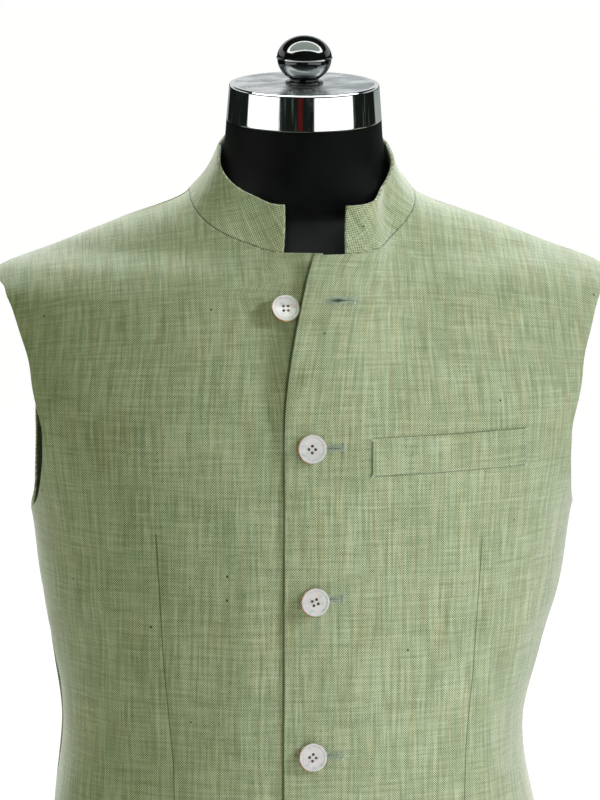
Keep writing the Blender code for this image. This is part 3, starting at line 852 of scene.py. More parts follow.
def turned_mesh(name: str, profile: Sequence[Pair], segments: int) -> Mesh:
    """A solid turned about Z from (radius, height) pairs, its ends closed at the axis.

    Args:
        name: The mesh's name.
        profile: The pairs, from one end to the other.
        segments: Steps round the axis.

    Returns:
        The mesh, its axis along Z.
    """
    turns = full_turn(segments)
    rings = [np.stack([r * np.cos(turns), r * np.sin(turns), h + 0 * turns], axis=1) for r, h in profile]
    points = [tuple(p) for p in np.concatenate(rings)]
    points += [(0.0, 0.0, profile[0][1]), (0.0, 0.0, profile[-1][1])]
    faces = ring_faces(len(profile), segments)
    last = (len(profile) - 1) * segments
    for i in range(segments):
        j = (i + 1) % segments
        faces.append((len(points) - 2, j, i))
        faces.append((len(points) - 1, last + i, last + j))
    mesh = bpy.data.meshes.new(name)
    mesh.from_pydata(points, [], faces)
    mesh.update()
    return mesh


def rounded(profile: Sequence[Triple], steps: int = 5) -> list[Pair]:
    """Rounds the corners of a profile.

    Args:
        profile: (radius, height, corner radius) of each corner, in order.
        steps: How many points each rounded corner gets.

    Returns:
        (radius, height) pairs along the rounded profile.
    """
    spots = [Vector((r, h)) for r, h, _ in profile]
    made: list[Pair] = []
    for i, (radius, height, corner) in enumerate(profile):
        if corner <= 0 or i in (0, len(profile) - 1):
            made.append((radius, height))
            continue
        here = spots[i]
        to_last, to_next = spots[i - 1] - here, spots[i + 1] - here
        reach = min(corner, to_last.length * 0.49, to_next.length * 0.49)
        start = here + to_last.normalized() * reach
        end = here + to_next.normalized() * reach
        for t in np.linspace(0, 1, steps + 1):
            spot = start.lerp(here, t).lerp(here.lerp(end, t), t)
            made.append((spot.x, spot.y))
    return made


def turned_piece(
    name: str, profile: Sequence[Pair], segments: int, finish: Material, sharp: float, *nodes: str,
    frame: Matrix = Matrix(),
) -> Object:
    """A fitting turned from a profile, with edges sharper than an angle in degrees kept crisp.

    Args:
        name: The piece's name.
        profile: (radius, height) pairs.
        segments: Steps round the axis.
        finish: Its material.
        sharp: The angle.
        nodes: The CAD nodes that it stands for.
        frame: From its own frame to the row's.

    Returns:
        The new piece.
    """
    mesh = turned_mesh(name, profile, segments)
    mesh.transform(frame)
    piece = add_piece(name, mesh, finish)
    mesh.set_sharp_from_angle(angle=math.radians(sharp))
    return settle(piece, "chrome", *nodes)


# Finishes


class Graph:
    """A node tree being written."""

    def __init__(self, tree: Tree) -> None:
        """Starts on a tree, leaving what it holds."""
        self.tree = tree

    def node(self, kind: str, feeds: Feeds | None = None, **settings: object) -> Node:
        """Adds a node, sets its properties and feeds its inputs.

        Args:
            kind: The node's type.
            feeds: What feeds each input.
            settings: The properties to set.

        Returns:
            The node.
        """
        made = self.tree.nodes.new(kind)
        for key, value in settings.items():
            setattr(made, key, value)
        self.fill(made, feeds or {})
        return made

    def group(self, tree: Tree, feeds: Feeds) -> Node:
        """Adds a node group and feeds its inputs.

        Args:
            tree: The group's tree.
            feeds: What feeds each input.

        Returns:
            The group's node.
        """
        made = self.node("ShaderNodeGroup", node_tree=tree)
        self.fill(made, feeds)
        return made

    def fill(self, node: Node, feeds: Feeds) -> None:
        """Links or sets a node's inputs, by name or number."""
        for key, value in feeds.items():
            self.feed(node.inputs[key], value)

    def feed(self, socket: Socket, value: object) -> None:
        """Links a socket, or sets its value, a colour with full alpha.

        Args:
            socket: The input.
            value: Another node's socket, a number or a colour.
        """
        if isinstance(value, Socket):
            self.tree.links.new(value, socket)
        elif value is not None:
            socket.default_value = (*value, 1.0) if socket.type == "RGBA" else value

    def math(self, operation: str, *values: object, clamp: bool = False) -> Socket:
        """A Math node's result."""
        feeds = dict(enumerate(values))
        return self.node("ShaderNodeMath", feeds, operation=operation, use_clamp=clamp).outputs[0]

    def times(self, *factors: object) -> Socket:
        """A product."""
        return reduce(partial(self.math, "MULTIPLY"), factors)

    def plus(self, *terms: object) -> Socket:
        """A sum."""
        return reduce(partial(self.math, "ADD"), terms)

    def scaled(self, value: object, factor: object, start: object) -> Socket:
        """A value times a factor, plus a start."""
        return self.math("MULTIPLY_ADD", value, factor, start)

    def stretched(self, vector: Socket, factors: Triple) -> Socket:
        """A vector, each of its numbers times its own factor."""
        return self.node("ShaderNodeVectorMath", {0: vector, 1: factors}, operation="MULTIPLY").outputs[0]

    def combine(self, x: object = 0.0, y: object = 0.0, z: object = 0.0) -> Socket:
        """A vector from three numbers."""
        return self.node("ShaderNodeCombineXYZ", {0: x, 1: y, 2: z}).outputs[0]

    def split(self, vector: Socket) -> list[Socket]:
        """A vector's three numbers."""
        return list(self.node("ShaderNodeSeparateXYZ", {0: vector}).outputs)

    def noise(self, vector: object, scale: float, detail: float = 2.0, rough: float = 0.5) -> Socket:
        """A noise texture's value, about 0.5."""
        feeds = {"Vector": vector, "Scale": scale, "Detail": detail, "Roughness": rough}
        return self.node("ShaderNodeTexNoise", feeds).outputs["Fac"]

    def span(self, value: object, low: float, high: float, start: float = 0.0, end: float = 1.0) -> Socket:
        """A value taken smoothly from one span to another."""
        feeds = dict(enumerate((value, low, high, start, end)))
        return self.node("ShaderNodeMapRange", feeds, interpolation_type="SMOOTHSTEP").outputs[0]

    def mix(self, share: object, first: object, second: object, blend: str = "MIX") -> Socket:
        """A mix of two colours."""
        feeds = {0: share, 6: first, 7: second}
        return self.node("ShaderNodeMix", feeds, data_type="RGBA", blend_type=blend).outputs[2]

    def blend(self, share: object, first: object, second: object) -> Socket:
        """A mix of two numbers."""
        return self.node("ShaderNodeMix", {0: share, 2: first, 3: second}, data_type="FLOAT").outputs[0]


def new_group(
    name: str, inputs: dict[str, str], outputs: dict[str, str], kind: str = "ShaderNodeTree"
) -> tuple[Graph, dict[str, Socket], Node]:
    """Starts a node group.

    Args:
        name: The group's name.
        inputs: Socket kind of each input, by name.
        outputs: Socket kind of each output, by name.
        kind: The kind of node tree.

    Returns:
        The graph inside it, its inputs' sockets by name, and the node that its outputs go to.
    """
    tree = bpy.data.node_groups.new(name, kind)
    for way, sockets in (("INPUT", inputs), ("OUTPUT", outputs)):
        for key, socket_kind in sockets.items():
            tree.interface.new_socket(key, in_out=way, socket_type="NodeSocket" + socket_kind)
    graph = Graph(tree)
    given = {socket.name: socket for socket in graph.node("NodeGroupInput").outputs}
    return graph, given, graph.node("NodeGroupOutput")


class Streak(NamedTuple):
    """Noise over the cloth: its changes a metre each way, its layer and its reach in the tone."""

    across: float
    upward: float
    layer: float
    reach: float
    detail: float = 1.0


STREAKS = listed(
    Streak,
    (1300.0, 46.0, 2.0, 0.50),
    (430.0, 20.0, 4.0, 0.72),
    (22.0, 430.0, 7.0, 0.44),
    (60.0, 1300.0, 6.0, 0.38),
    (26.0, 20.0, 8.0, 0.22, 3.0),
)


def weave_group() -> Tree:
    """Plain weave in a dark warp and a pale weft, with slubs.

    Its Grain input is a place on the cut cloth in metres and Pitch the spacing
    of its threads. Tone is how light the thread there is, Relief its height,
    Slub where a thick thread runs, Warmth where the yarn is tan rather than
    green and Fleck where a dark knot is.

    Returns:
        The node group.
    """
    outputs = dict.fromkeys(("Tone", "Relief", "Slub", "Warmth", "Fleck"), "Float")
    graph, given, result = new_group("slubbed_weave", {"Grain": "Vector", "Pitch": "Float"}, outputs)
    across, upward, _ = graph.split(given["Grain"])

    def streaks(x: float, y: float, layer: float, detail: float = 1.0) -> Socket:
        """Noise with that many changes a metre across and upward."""
        return graph.noise(graph.combine(graph.times(across, x), graph.times(upward, y), layer), 1.0, detail)

    def centred(value: Socket, reach: float) -> Socket:
        """Noise taken to a reach either side of nothing."""
        return graph.times(graph.math("SUBTRACT", value, 0.5), reach)

    drift = centred(streaks(30.0, 24.0, 0.0, 2.0), 3.8)
    u = graph.plus(graph.math("DIVIDE", across, given["Pitch"]), drift)
    v = graph.math("SUBTRACT", graph.math("DIVIDE", upward, given["Pitch"]), drift)
    over = graph.math("PINGPONG", graph.plus(graph.math("FLOOR", u), graph.math("FLOOR", v)), 1.0)
    squares = []
    for value in (u, v):
        middle = graph.scaled(graph.math("FRACT", value), 2.0, -1.0)
        squares.append(graph.times(middle, middle))
    crowns = []
    for first, second in (squares, squares[::-1]):
        fall = graph.scaled(second, 0.4, graph.times(first, 0.6))
        crowns.append(graph.math("SUBTRACT", 1.0, fall))
    relief = graph.blend(over, crowns[1], crowns[0])
    patch = graph.span(streaks(70.0, 34.0, 11.0, 2.0), 0.34, 0.60, 0.70, 1.0)
    check = graph.times(graph.math("SUBTRACT", 0.5, over), patch)
    along_warp = graph.span(streaks(560.0, 40.0, 1.0), 0.64, 0.76)
    along_weft = graph.span(streaks(40.0, 560.0, 3.0), 0.66, 0.78)
    slub = graph.math("MAXIMUM", along_warp, along_weft)
    lean = graph.span(streaks(620.0, 36.0, 5.0), 0.36, 0.24)
    terms = [centred(streaks(row.across, row.upward, row.layer, row.detail), row.reach) for row in STREAKS]
    terms += [graph.times(slub, 0.15), graph.times(lean, -0.10)]
    tone = graph.plus(graph.scaled(check, 0.86, 0.5), *terms)
    knots = {"Vector": graph.stretched(given["Grain"], (75.0, 60.0, 1.0)), "Scale": 1.0}
    spots = graph.node("ShaderNodeTexVoronoi", knots, feature="F1")
    rare = graph.math("GREATER_THAN", graph.split(spots.outputs["Color"])[0], 0.86)
    values = {
        "Tone": graph.math("MAXIMUM", tone, 0.06, clamp=True),
        "Relief": graph.scaled(slub, 0.6, relief),
        "Slub": slub,
        "Warmth": graph.span(streaks(210.0, 14.0, 9.0, 2.0), 0.42, 0.66),
        "Fleck": graph.times(graph.span(spots.outputs["Distance"], 0.075, 0.045), rare),
    }
    graph.fill(result, values)
    return graph.tree


def wear_group() -> Tree:
    """Handling marks on a smooth surface.

    Its Place input is an object coordinate in metres. Haze is a soft cloudy
    mask, Scratch a mask of hairlines and Dust a mask of fine specks.

    Returns:
        The node group.
    """
    outputs = dict.fromkeys(("Haze", "Scratch", "Dust"), "Float")
    graph, given, result = new_group("handling_marks", {"Place": "Vector"}, outputs)
    place = given["Place"]
    hairlines = graph.noise(graph.stretched(place, (900.0, 900.0, 40.0)), 1.0, 2.0)
    masks = {
        "Haze": graph.span(graph.noise(place, 38.0, 4.0, 0.6), 0.40, 0.68),
        "Scratch": graph.span(hairlines, 0.66, 0.74),
        "Dust": graph.span(graph.noise(place, 1400.0, 1.0), 0.70, 0.80),
    }
    graph.fill(result, masks)
    return graph.tree


@dataclass(frozen=True)
class Finish:
    """A finish: the values that are the same all over its surface."""

    name: str
    roughness: float
    metallic: float = 0.0
    specular: float = 0.5
    sheen: float = 0.0
    sheen_roughness: float = 0.5
    sheen_tint: Triple = (1.0, 1.0, 1.0)
    coat: float = 0.0
    coat_roughness: float = 0.03
    ior: float = 1.5

    def start(self) -> tuple[Material, Graph, Node]:
        """A new material, its graph and its Principled shader.

        Returns:
            The three of them.
        """
        made = bpy.data.materials.new(self.name)
        made.use_nodes = True
        graph, shader = Graph(made.node_tree), made.node_tree.nodes["Principled BSDF"]
        values = {
            "Roughness": self.roughness,
            "Metallic": self.metallic,
            "Specular IOR Level": self.specular,
            "Sheen Weight": self.sheen,
            "Sheen Roughness": self.sheen_roughness,
            "Sheen Tint": self.sheen_tint,
            "Coat Weight": self.coat,
            "Coat Roughness": self.coat_roughness,
            "IOR": self.ior,
        }
        graph.fill(shader, values)
        return made, graph, shader

    def looks(self, graph: Graph) -> Feeds:
        """What varies over the surface, by the shader's input."""
        return {}

    def build(self) -> Material:
        """The finished material.

        Returns:
            The material.
        """
        made, graph, shader = self.start()
        graph.fill(shader, self.looks(graph))
        return made

    def grain(self, graph: Graph, turn: float = 0.0) -> Socket:
        """The place on the cut cloth, turned by an angle in degrees.

        Args:
            graph: The material's graph.
            turn: The angle.

        Returns:
            The place, in metres.
        """
        layer = graph.node("ShaderNodeUVMap", uv_map="Grain").outputs["UV"]
        if not turn:
            return layer
        feeds = {"Rotation": (0.0, 0.0, math.radians(turn)), "Vector": layer}
        return graph.node("ShaderNodeMapping", feeds, vector_type="POINT").outputs["Vector"]

    def place(self, graph: Graph) -> Socket:
        """The place on the piece."""
        return graph.node("ShaderNodeTexCoord").outputs["Object"]

    def bump(self, graph: Graph, height: object, strength: float, distance: float) -> Socket:
        """A normal raised by a height between 0 and 1."""
        feeds = {"Strength": strength, "Distance": distance, "Height": height}
        return graph.node("ShaderNodeBump", feeds).outputs["Normal"]


@dataclass(frozen=True)
class Linen(Finish):
    """Slubbed linen in a plain weave, with painted shade where the seam attribute says."""

    pitch: float = 0.00080
    dark: Triple = (0.040, 0.074, 0.0)
    light: Triple = (0.462, 0.544, 0.335)
    warm: Triple = (1.07, 0.99, 0.95)
    fleck: Triple = (0.040, 0.050, 0.010)
    turn: float = 0.0
    weave: Tree | None = None
    ditch_width: float = 0.0009
    painted_shade_share: float = 0.72
    ditch_shade: float = 0.5

    def looks(self, graph: Graph) -> Feeds:
        """Threads, slubs, flecks, and painted shade in a seam's ditch and beside the lap's edge.

        Args:
            graph: The material's graph.

        Returns:
            What feeds the shader, by input.
        """
        feeds = {"Grain": self.grain(graph, self.turn), "Pitch": self.pitch}
        cloth = graph.group(self.weave, feeds)
        base = graph.mix(cloth.outputs["Tone"], self.dark, self.light)
        base = graph.mix(cloth.outputs["Warmth"], base, self.warm, "MULTIPLY")
        base = graph.mix(cloth.outputs["Fleck"], base, self.fleck)
        # Painted shade: the cloth darkens near the seam attribute's lines, which are the seams' ditches, the
        # welt's edges and the right front beside the lap, where shadow falls.
        seam = graph.node("ShaderNodeAttribute", attribute_name="seam")
        ditch = graph.span(graph.math("ABSOLUTE", seam.outputs["Fac"]), self.ditch_width, 0.0)
        deep = tuple(part * self.ditch_shade for part in self.dark)
        base = graph.mix(graph.times(ditch, self.painted_shade_share), base, deep)
        height = graph.scaled(ditch, -1.0, cloth.outputs["Relief"])
        return {
            "Base Color": base,
            "Roughness": graph.scaled(cloth.outputs["Slub"], -0.10, self.roughness),
            "Normal": self.bump(graph, height, 0.40, 0.00025),
        }


@dataclass(frozen=True)
class Thread(Finish):
    """Sewing thread, with the ribs of its twist."""

    dark: Triple = (0.060, 0.095, 0.055)
    light: Triple = (0.430, 0.530, 0.370)
    ply_scale: float = 1900.0
    fibre_scale: float = 4200.0

    def looks(self, graph: Graph) -> Feeds:
        """Plies that are dark and light by turns.

        Args:
            graph: The material's graph.

        Returns:
            What feeds the shader, by input.
        """
        place = self.place(graph)
        shade = graph.span(graph.noise(place, self.ply_scale, 1.0), 0.38, 0.52)
        fibres = graph.noise(place, self.fibre_scale, 1.0)
        return {
            "Base Color": graph.mix(shade, self.dark, self.light),
            "Normal": self.bump(graph, fibres, 0.4, 0.0001),
        }


@dataclass(frozen=True)
class Pearl(Finish):
    """Mother-of-pearl with an amber rind at its back and edge."""

    face: Triple = (0.49, 0.50, 0.42)
    rose: Triple = (0.53, 0.44, 0.40)
    mint: Triple = (0.32, 0.42, 0.36)
    rind: Triple = (0.17, 0.062, 0.010)
    amber: Triple = (0.50, 0.27, 0.07)
    layer_scale: float = 170.0
    hue_scale: float = 320.0
    sheen_share: float = 0.80

    def looks(self, graph: Graph) -> Feeds:
        """Layers of shell that shine rose and mint, and the rind where the mesh says so.

        Args:
            graph: The material's graph.

        Returns:
            What feeds the shader, by input.
        """
        place = self.place(graph)
        layers = graph.noise(graph.stretched(place, (1.0, 1.0, 2.2)), self.layer_scale, 3.0)
        hue = graph.span(graph.noise(place, self.hue_scale, 1.0), 0.40, 0.62)
        sheen = graph.mix(hue, self.rose, self.mint)
        face = graph.mix(graph.times(graph.span(layers, 0.40, 0.66), self.sheen_share), self.face, sheen)
        depth = graph.node("ShaderNodeAttribute", attribute_name="rind")
        mottled = graph.mix(graph.span(layers, 0.35, 0.65), self.rind, self.amber)
        return {
            "Base Color": graph.mix(depth.outputs["Fac"], face, mottled),
            "Roughness": graph.scaled(layers, 0.12, self.roughness),
            "Normal": self.bump(graph, layers, 0.05, 0.0002),
        }


@dataclass(frozen=True)
class Handled(Finish):
    """A smooth finish with the marks of handling."""

    marks: Tree | None = None

    def worn(self, graph: Graph) -> tuple[Socket, dict[str, Socket]]:
        """The place on the piece, and the masks of haze, scratches and dust there."""
        place = self.place(graph)
        return place, dict(graph.group(self.marks, {"Place": place}).outputs.items())


@dataclass(frozen=True)
class Cover(Handled):
    """The form's smooth black cover, with a fine even grain."""

    dark: Triple = (0.0005, 0.0008, 0.0006)
    light: Triple = (0.0024, 0.0032, 0.0026)
    dust: Triple = (0.3, 0.3, 0.28)
    grain_scale: float = 1500.0
    grain_relief: float = 0.16

    def looks(self, graph: Graph) -> Feeds:
        """Fine grain, haze and dust.

        Args:
            graph: The material's graph.

        Returns:
            What feeds the shader, by input.
        """
        place, marks = self.worn(graph)
        grain = graph.noise(place, self.grain_scale, 2.0)
        shade = graph.scaled(marks["Haze"], 0.6, graph.times(grain, 0.4))
        base = graph.mix(shade, self.dark, self.light)
        return {
            "Base Color": graph.mix(graph.times(marks["Dust"], 0.04), base, self.dust),
            "Roughness": graph.scaled(marks["Haze"], 0.08, self.roughness),
            "Normal": self.bump(graph, grain, self.grain_relief, 0.0003),
        }


@dataclass(frozen=True)
class Chrome(Handled):
    """Polished chrome, or a worn plate where it is clouded and brushed."""

    tint: Triple = (0.90, 0.91, 0.92)
    stain: Triple = (0.77, 0.78, 0.79)
    cloud: float = 0.05
    brushing: float = 0.0
    cloud_scales: Triple = (30.0, 55.0, 40.0)
    ring_scale: float = 5200.0

    def looks(self, graph: Graph) -> Feeds:
        """Haze and hairlines; clouds and rings of brushing on a worn plate.

        Args:
            graph: The material's graph.

        Returns:
            What feeds the shader, by input.
        """
        place, marks = self.worn(graph)
        cloudy, height = marks["Haze"], marks["Scratch"]
        if self.brushing:
            clouds = graph.noise(graph.stretched(place, self.cloud_scales), 1.0, 4.0, 0.6)
            cloudy = graph.span(clouds, 0.34, 0.66)
            x, y, _ = graph.split(place)
            radius = graph.math("SQRT", graph.plus(graph.times(x, x), graph.times(y, y)))
            rings = graph.noise(graph.combine(graph.times(radius, self.ring_scale)), 1.0, 2.0)
            height = graph.plus(rings, height)
        dull = graph.scaled(marks["Scratch"], 0.04, graph.times(cloudy, self.cloud))
        return {
            "Base Color": graph.mix(cloudy, self.tint, self.stain),
            "Roughness": graph.plus(dull, self.roughness),
            "Normal": self.bump(graph, height, 0.03 + self.brushing, 0.0001),
        }


@dataclass(frozen=True)
class BlackNickel(Handled):
    """A hard black gloss that mirrors only what is bright."""

    tint: Triple = (0.0025, 0.0035, 0.0028)
    dust: Triple = (0.2, 0.2, 0.18)

    def looks(self, graph: Graph) -> Feeds:
        """Haze, hairlines and dust.

        Args:
            graph: The material's graph.

        Returns:
            What feeds the shader, by input.
        """
        _, marks = self.worn(graph)
        return {
            "Base Color": graph.mix(graph.times(marks["Dust"], 0.10), self.tint, self.dust),
            "Roughness": graph.scaled(marks["Haze"], 0.05, self.roughness),
            "Normal": self.bump(graph, marks["Scratch"], 0.02, 0.0001),
        }


# Sewing


class Line(NamedTuple):
    """A line to sew along: its points, the way each stitch lies, and the surface's normals."""

    points: Array
    aims: Array
    normals: Array


@dataclass(frozen=True)
class StitchRun:
    """Evenly spaced stitches of thread along a line on the cloth."""

    spacing: float
    length: float
    radius: float
    sway: float = 0.10
    seed: int = 3

    def tree(self) -> Tree:
        """The geometry nodes that set one stitch at every step of the line.

        Returns:
            The tree.
        """
        known = bpy.data.node_groups.get("stitch_run")
        if known:
            return known
        inputs = {"Line": "Geometry", **dict.fromkeys(("Spacing", "Length", "Radius", "Sway"), "Float")}
        inputs |= {"Seed": "Int", "Thread": "Material"}
        graph, given, result = new_group("stitch_run", inputs, {"Stitches": "Geometry"}, "GeometryNodeTree")
        curve = graph.node("GeometryNodeMeshToCurve", {"Mesh": given["Line"]}).outputs[0]
        feeds = {"Curve": curve, "Length": given["Spacing"]}
        steps = graph.node("GeometryNodeResampleCurve", feeds, mode="LENGTH").outputs[0]
        turned = None
        for axis, pivot, layer in (("X", "AUTO", "aim"), ("Z", "X", "up")):
            value = graph.node("GeometryNodeInputNamedAttribute", {"Name": layer}, data_type="FLOAT_VECTOR")
            feeds = {"Vector": value.outputs[0], "Rotation": turned}
            align = graph.node("FunctionNodeAlignRotationToVector", feeds, axis=axis, pivot_axis=pivot)
            turned = align.outputs[0]
        feeds = {2: graph.times(given["Sway"], -1.0), 3: given["Sway"], "Seed": given["Seed"]}
        chance = graph.node("FunctionNodeRandomValue", feeds, data_type="FLOAT").outputs[1]
        feeds = {"Axis": (0.0, 0.0, 1.0), "Angle": chance}
        feeds = {0: turned, 1: graph.node("FunctionNodeAxisAngleToRotation", feeds).outputs[0]}
        spin = graph.node("FunctionNodeRotateRotation", feeds, rotation_space="LOCAL").outputs[0]
        bead = graph.node("GeometryNodeMeshUVSphere", {"Segments": 7, "Rings": 6, "Radius": 1.0}).outputs[0]
        size = graph.combine(graph.times(given["Length"], 0.5), given["Radius"], given["Radius"])
        shaped = graph.node("GeometryNodeTransform", {"Geometry": bead, "Scale": size}).outputs[0]
        feeds = {"Points": steps, "Instance": shaped, "Rotation": spin}
        spots = graph.node("GeometryNodeInstanceOnPoints", feeds).outputs[0]
        real = graph.node("GeometryNodeRealizeInstances", {0: spots}).outputs[0]
        dressed = graph.node("GeometryNodeSetMaterial", {"Geometry": real, "Material": given["Thread"]})
        graph.fill(result, {0: dressed.outputs[0]})
        return graph.tree

    def sew(self, name: str, lines: Sequence[Line], thread: Material) -> Object:
        """Sews along lines and returns the stitches as one plain mesh.

        Args:
            name: The new piece's name.
            lines: What to sew along.
            thread: The thread's material.

        Returns:
            The new object.
        """
        points, edges, aims, ups = [], [], [], []
        for line in lines:
            first = len(points)
            points += [tuple(p) for p in line.points]
            aims += [tuple(a) for a in line.aims]
            ups += [tuple(n) for n in line.normals]
            edges += [(i, i + 1) for i in range(first, len(points) - 1)]
        mesh = bpy.data.meshes.new(name + "_line")
        mesh.from_pydata(points, edges, [])
        for key, values in (("aim", aims), ("up", ups)):
            layer = mesh.attributes.new(key, "FLOAT_VECTOR", "POINT")
            layer.data.foreach_set("vector", np.array(values, np.float32).ravel())
        guide = linked(name + "_line", mesh)
        tree = self.tree()
        sewing = guide.modifiers.new("sewing", "NODES")
        sewing.node_group = tree
        sizes = {
            "Spacing": self.spacing,
            "Length": self.length,
            "Radius": self.radius,
            "Sway": self.sway,
            "Seed": self.seed,
            "Thread": thread,
        }
        for item in tree.interface.items_tree:
            if item.item_type == "SOCKET" and item.in_out == "INPUT" and item.name in sizes:
                sewing[item.identifier] = sizes[item.name]
        graph = bpy.context.evaluated_depsgraph_get()
        graph.update()
        made = bpy.data.meshes.new_from_object(guide.evaluated_get(graph))
        guide.modifiers.clear()
        bpy.data.objects.remove(guide)
        for layer in [a.name for a in made.attributes if a.name in ("aim", "up")]:
            made.attributes.remove(made.attributes[layer])
        made.polygons.foreach_set("material_index", np.zeros(len(made.polygons), np.int32))
        return add_piece(name, made, thread)


def surface_line(hand: Hand, outs: Array, rises: Array, off: float) -> tuple[Array, Array]:
    """Points and normals on a front panel, held off it by a distance.

    Args:
        hand: The wearer's side.
        outs: How far out each point is.
        rises: The rise of each.
        off: The distance.

    Returns:
        The points and the normals, in the row frame.
    """
    angles = SHAPE.angle_at(outs, rises)
    patch = SHAPE.place(Side.FRONT, hand, angles, rises)
    normals = mirrored(hand, patch.normals)
    return to_world(hand, patch.points) + normals * off, normals


def running(outs: Array, rises: Array, off: float, across: bool = False) -> Line:
    """A line on the left front whose stitches lie along it, or across it.

    Args:
        outs: How far out each point is.
        rises: The rise of each.
        off: How far off the cloth it runs.
        across: Whether the stitches lie across it.

    Returns:
        The line.
    """
    points, normals = surface_line(Hand.LEFT, outs, rises, off)
    ahead = np.gradient(points, axis=0)
    return Line(points, unit(np.cross(ahead, normals) if across else ahead), normals)


# The jacket


@dataclass
class Panel:
    """A front or a back half of the jacket, as one sheet of linen."""

    side: Side
    hand: Hand
    flat: Pair
    area: float
    grain_from: Pair
    columns: int = 104
    body_rows: int = 84
    upper_rows: int = 74
    first_step: float = 0.006
    upper_length: float = 0.25
    last_row: float = 0.985
    darts: tuple[Pair, ...] = ()
    dart_hollow: float = 0.0008
    dart_width: float = 0.0045
    dart_fineness: float = 1.3
    lap_shadow_fineness: float = 0.5
    dense_steps: int = 240

    @property
    def name(self) -> str:
        """The CAD node's name."""
        return f"{self.side.value}_{self.hand.name.lower()}"

    def middle_edge(self, rises: Array) -> Array:
        """Angles of the edge at the middle: a front goes past it by its lap.

        Args:
            rises: Rises to read it at.

        Returns:
            An angle for each rise.
        """
        if self.side is Side.BACK:
            return np.zeros_like(rises)
        return SHAPE.angle_at(-SHAPE.overlap if self.hand is Hand.LEFT else -SHAPE.underlap, rises)

    def rows(self) -> tuple[Array, Array, Array, Array, Array]:
        """Angles and rises of each row's inner and outer end, and its distance from hem or shoulder.

        Returns:
            Inner angles and rises, outer angles and rises, and the distances.
        """
        steps = np.array(ROLL_STEPS)
        climb = np.linspace(SHAPE.hem + self.first_step, SHAPE.armpit, self.body_rows)
        body = np.concatenate([SHAPE.hem + steps, climb[:-1]])
        upper = np.linspace(0, self.last_row, self.upper_rows)
        upper = np.concatenate([upper, 1 - steps[::-1] / self.upper_length])
        table, turn, neck_at = {
            Side.FRONT: (FRONT_ARMHOLE, 0.5, SHAPE.front_neck),
            Side.BACK: (BACK_ARMHOLE, 9 / 16, SHAPE.back_neck),
        }[self.side]
        outer_angle, outer_rise = SHAPE.stations(self.side, SHAPE.armhole_line(table), upper)
        edge_rise = SHAPE.armpit + (neck_at - SHAPE.armpit) * np.clip(upper / turn, 0, 1)
        share = np.clip((upper - turn) / (1 - turn), 0, 1)
        neck_angle, neck_rise = SHAPE.stations(self.side, SHAPE.neckline(self.side), share)
        above = upper > turn
        distance = np.concatenate([body - SHAPE.hem, (1 - upper) * self.upper_length])
        inner_angle = np.where(above, neck_angle, self.middle_edge(edge_rise))
        inner_rise = np.where(above, neck_rise, edge_rise)
        return (
            np.concatenate([self.middle_edge(body), inner_angle]),
            np.concatenate([body, inner_rise]),
            np.concatenate([np.full_like(body, math.pi / 2), outer_angle]),
            np.concatenate([body, outer_rise]),
            distance,
        )

    def grid(self) -> tuple[Patch, Array, Array]:
        """The panel's points, and each one's distance from the nearest edge and from the inner one.

        Returns:
            The cloth and the two distances.
        """
        dense = np.linspace(0, 1, self.dense_steps)
        parts, edges, inner = [], [], []
        for angle_in, rise_in, angle_out, rise_out, far in zip(*self.rows()):
            angles = angle_in + (angle_out - angle_in) * dense
            rises = rise_in + (rise_out - rise_in) * dense
            reach = along(SHAPE.place(self.side, self.hand, angles, rises).points)
            length = reach[-1]
            share = crowded(1.0, self.columns, length)
            spots = np.interp(share * length, reach, dense)
            angles = angle_in + (angle_out - angle_in) * spots
            rises = rise_in + (rise_out - rise_in) * spots
            if self.side is Side.FRONT and rise_in < SHAPE.hem + SHAPE.hem_corner_reach:
                inside = np.clip(SHAPE.hem_corner - share * length, 0, SHAPE.hem_corner)
                lift = SHAPE.hem_corner - np.sqrt(SHAPE.hem_corner**2 - inside**2)
                rises = rises + lift * (1 - (rise_in - SHAPE.hem) / SHAPE.hem_corner_reach)
            parts.append(SHAPE.place(self.side, self.hand, angles, rises))
            edges.append(np.minimum(np.minimum(share * length, (1 - share) * length), far))
            inner.append(share * length)
        patch = Patch(*(np.array([getattr(p, key) for p in parts]) for key in Patch._fields))
        return patch, np.array(edges), np.array(inner)

    def dart_distance(self, points: Array) -> Array:
        """Signed distance of each point from the dart's line, large away from it.

        Args:
            points: The panel's points.

        Returns:
            Metres from the dart.
        """
        if not self.darts:
            return np.full(points.shape[:2], AWAY)
        outs, rises = zip(*sorted(self.darts, key=lambda spot: spot[1]))
        line = np.interp(points[..., 2], rises, outs)
        away = points[..., 0] - line
        past = np.maximum(points[..., 2] - rises[-1], rises[0] - points[..., 2])
        return np.where(past > 0, AWAY, away)

    def line_distance(self, points: Array, inner: Array) -> Array:
        """Signed distance from the middle back seam, or from the lap's edge, beside which a thin shadow is
        painted on the right front.

        Args:
            points: The panel's points.
            inner: The distance of each from the inner edge.

        Returns:
            Metres from the line.
        """
        if self.side is Side.BACK:
            return inner
        if self.hand is Hand.LEFT:
            return np.full(inner.shape, AWAY)
        # A painted shadow: a thin dark line on the right front along the left front's edge.
        rises = np.minimum(points[..., 2], SHAPE.front_neck)
        edge = SHAPE.place(Side.FRONT, Hand.LEFT, SHAPE.angle_at(-SHAPE.overlap, rises), rises).points
        return -(edge[..., 0] + points[..., 0]) * self.lap_shadow_fineness

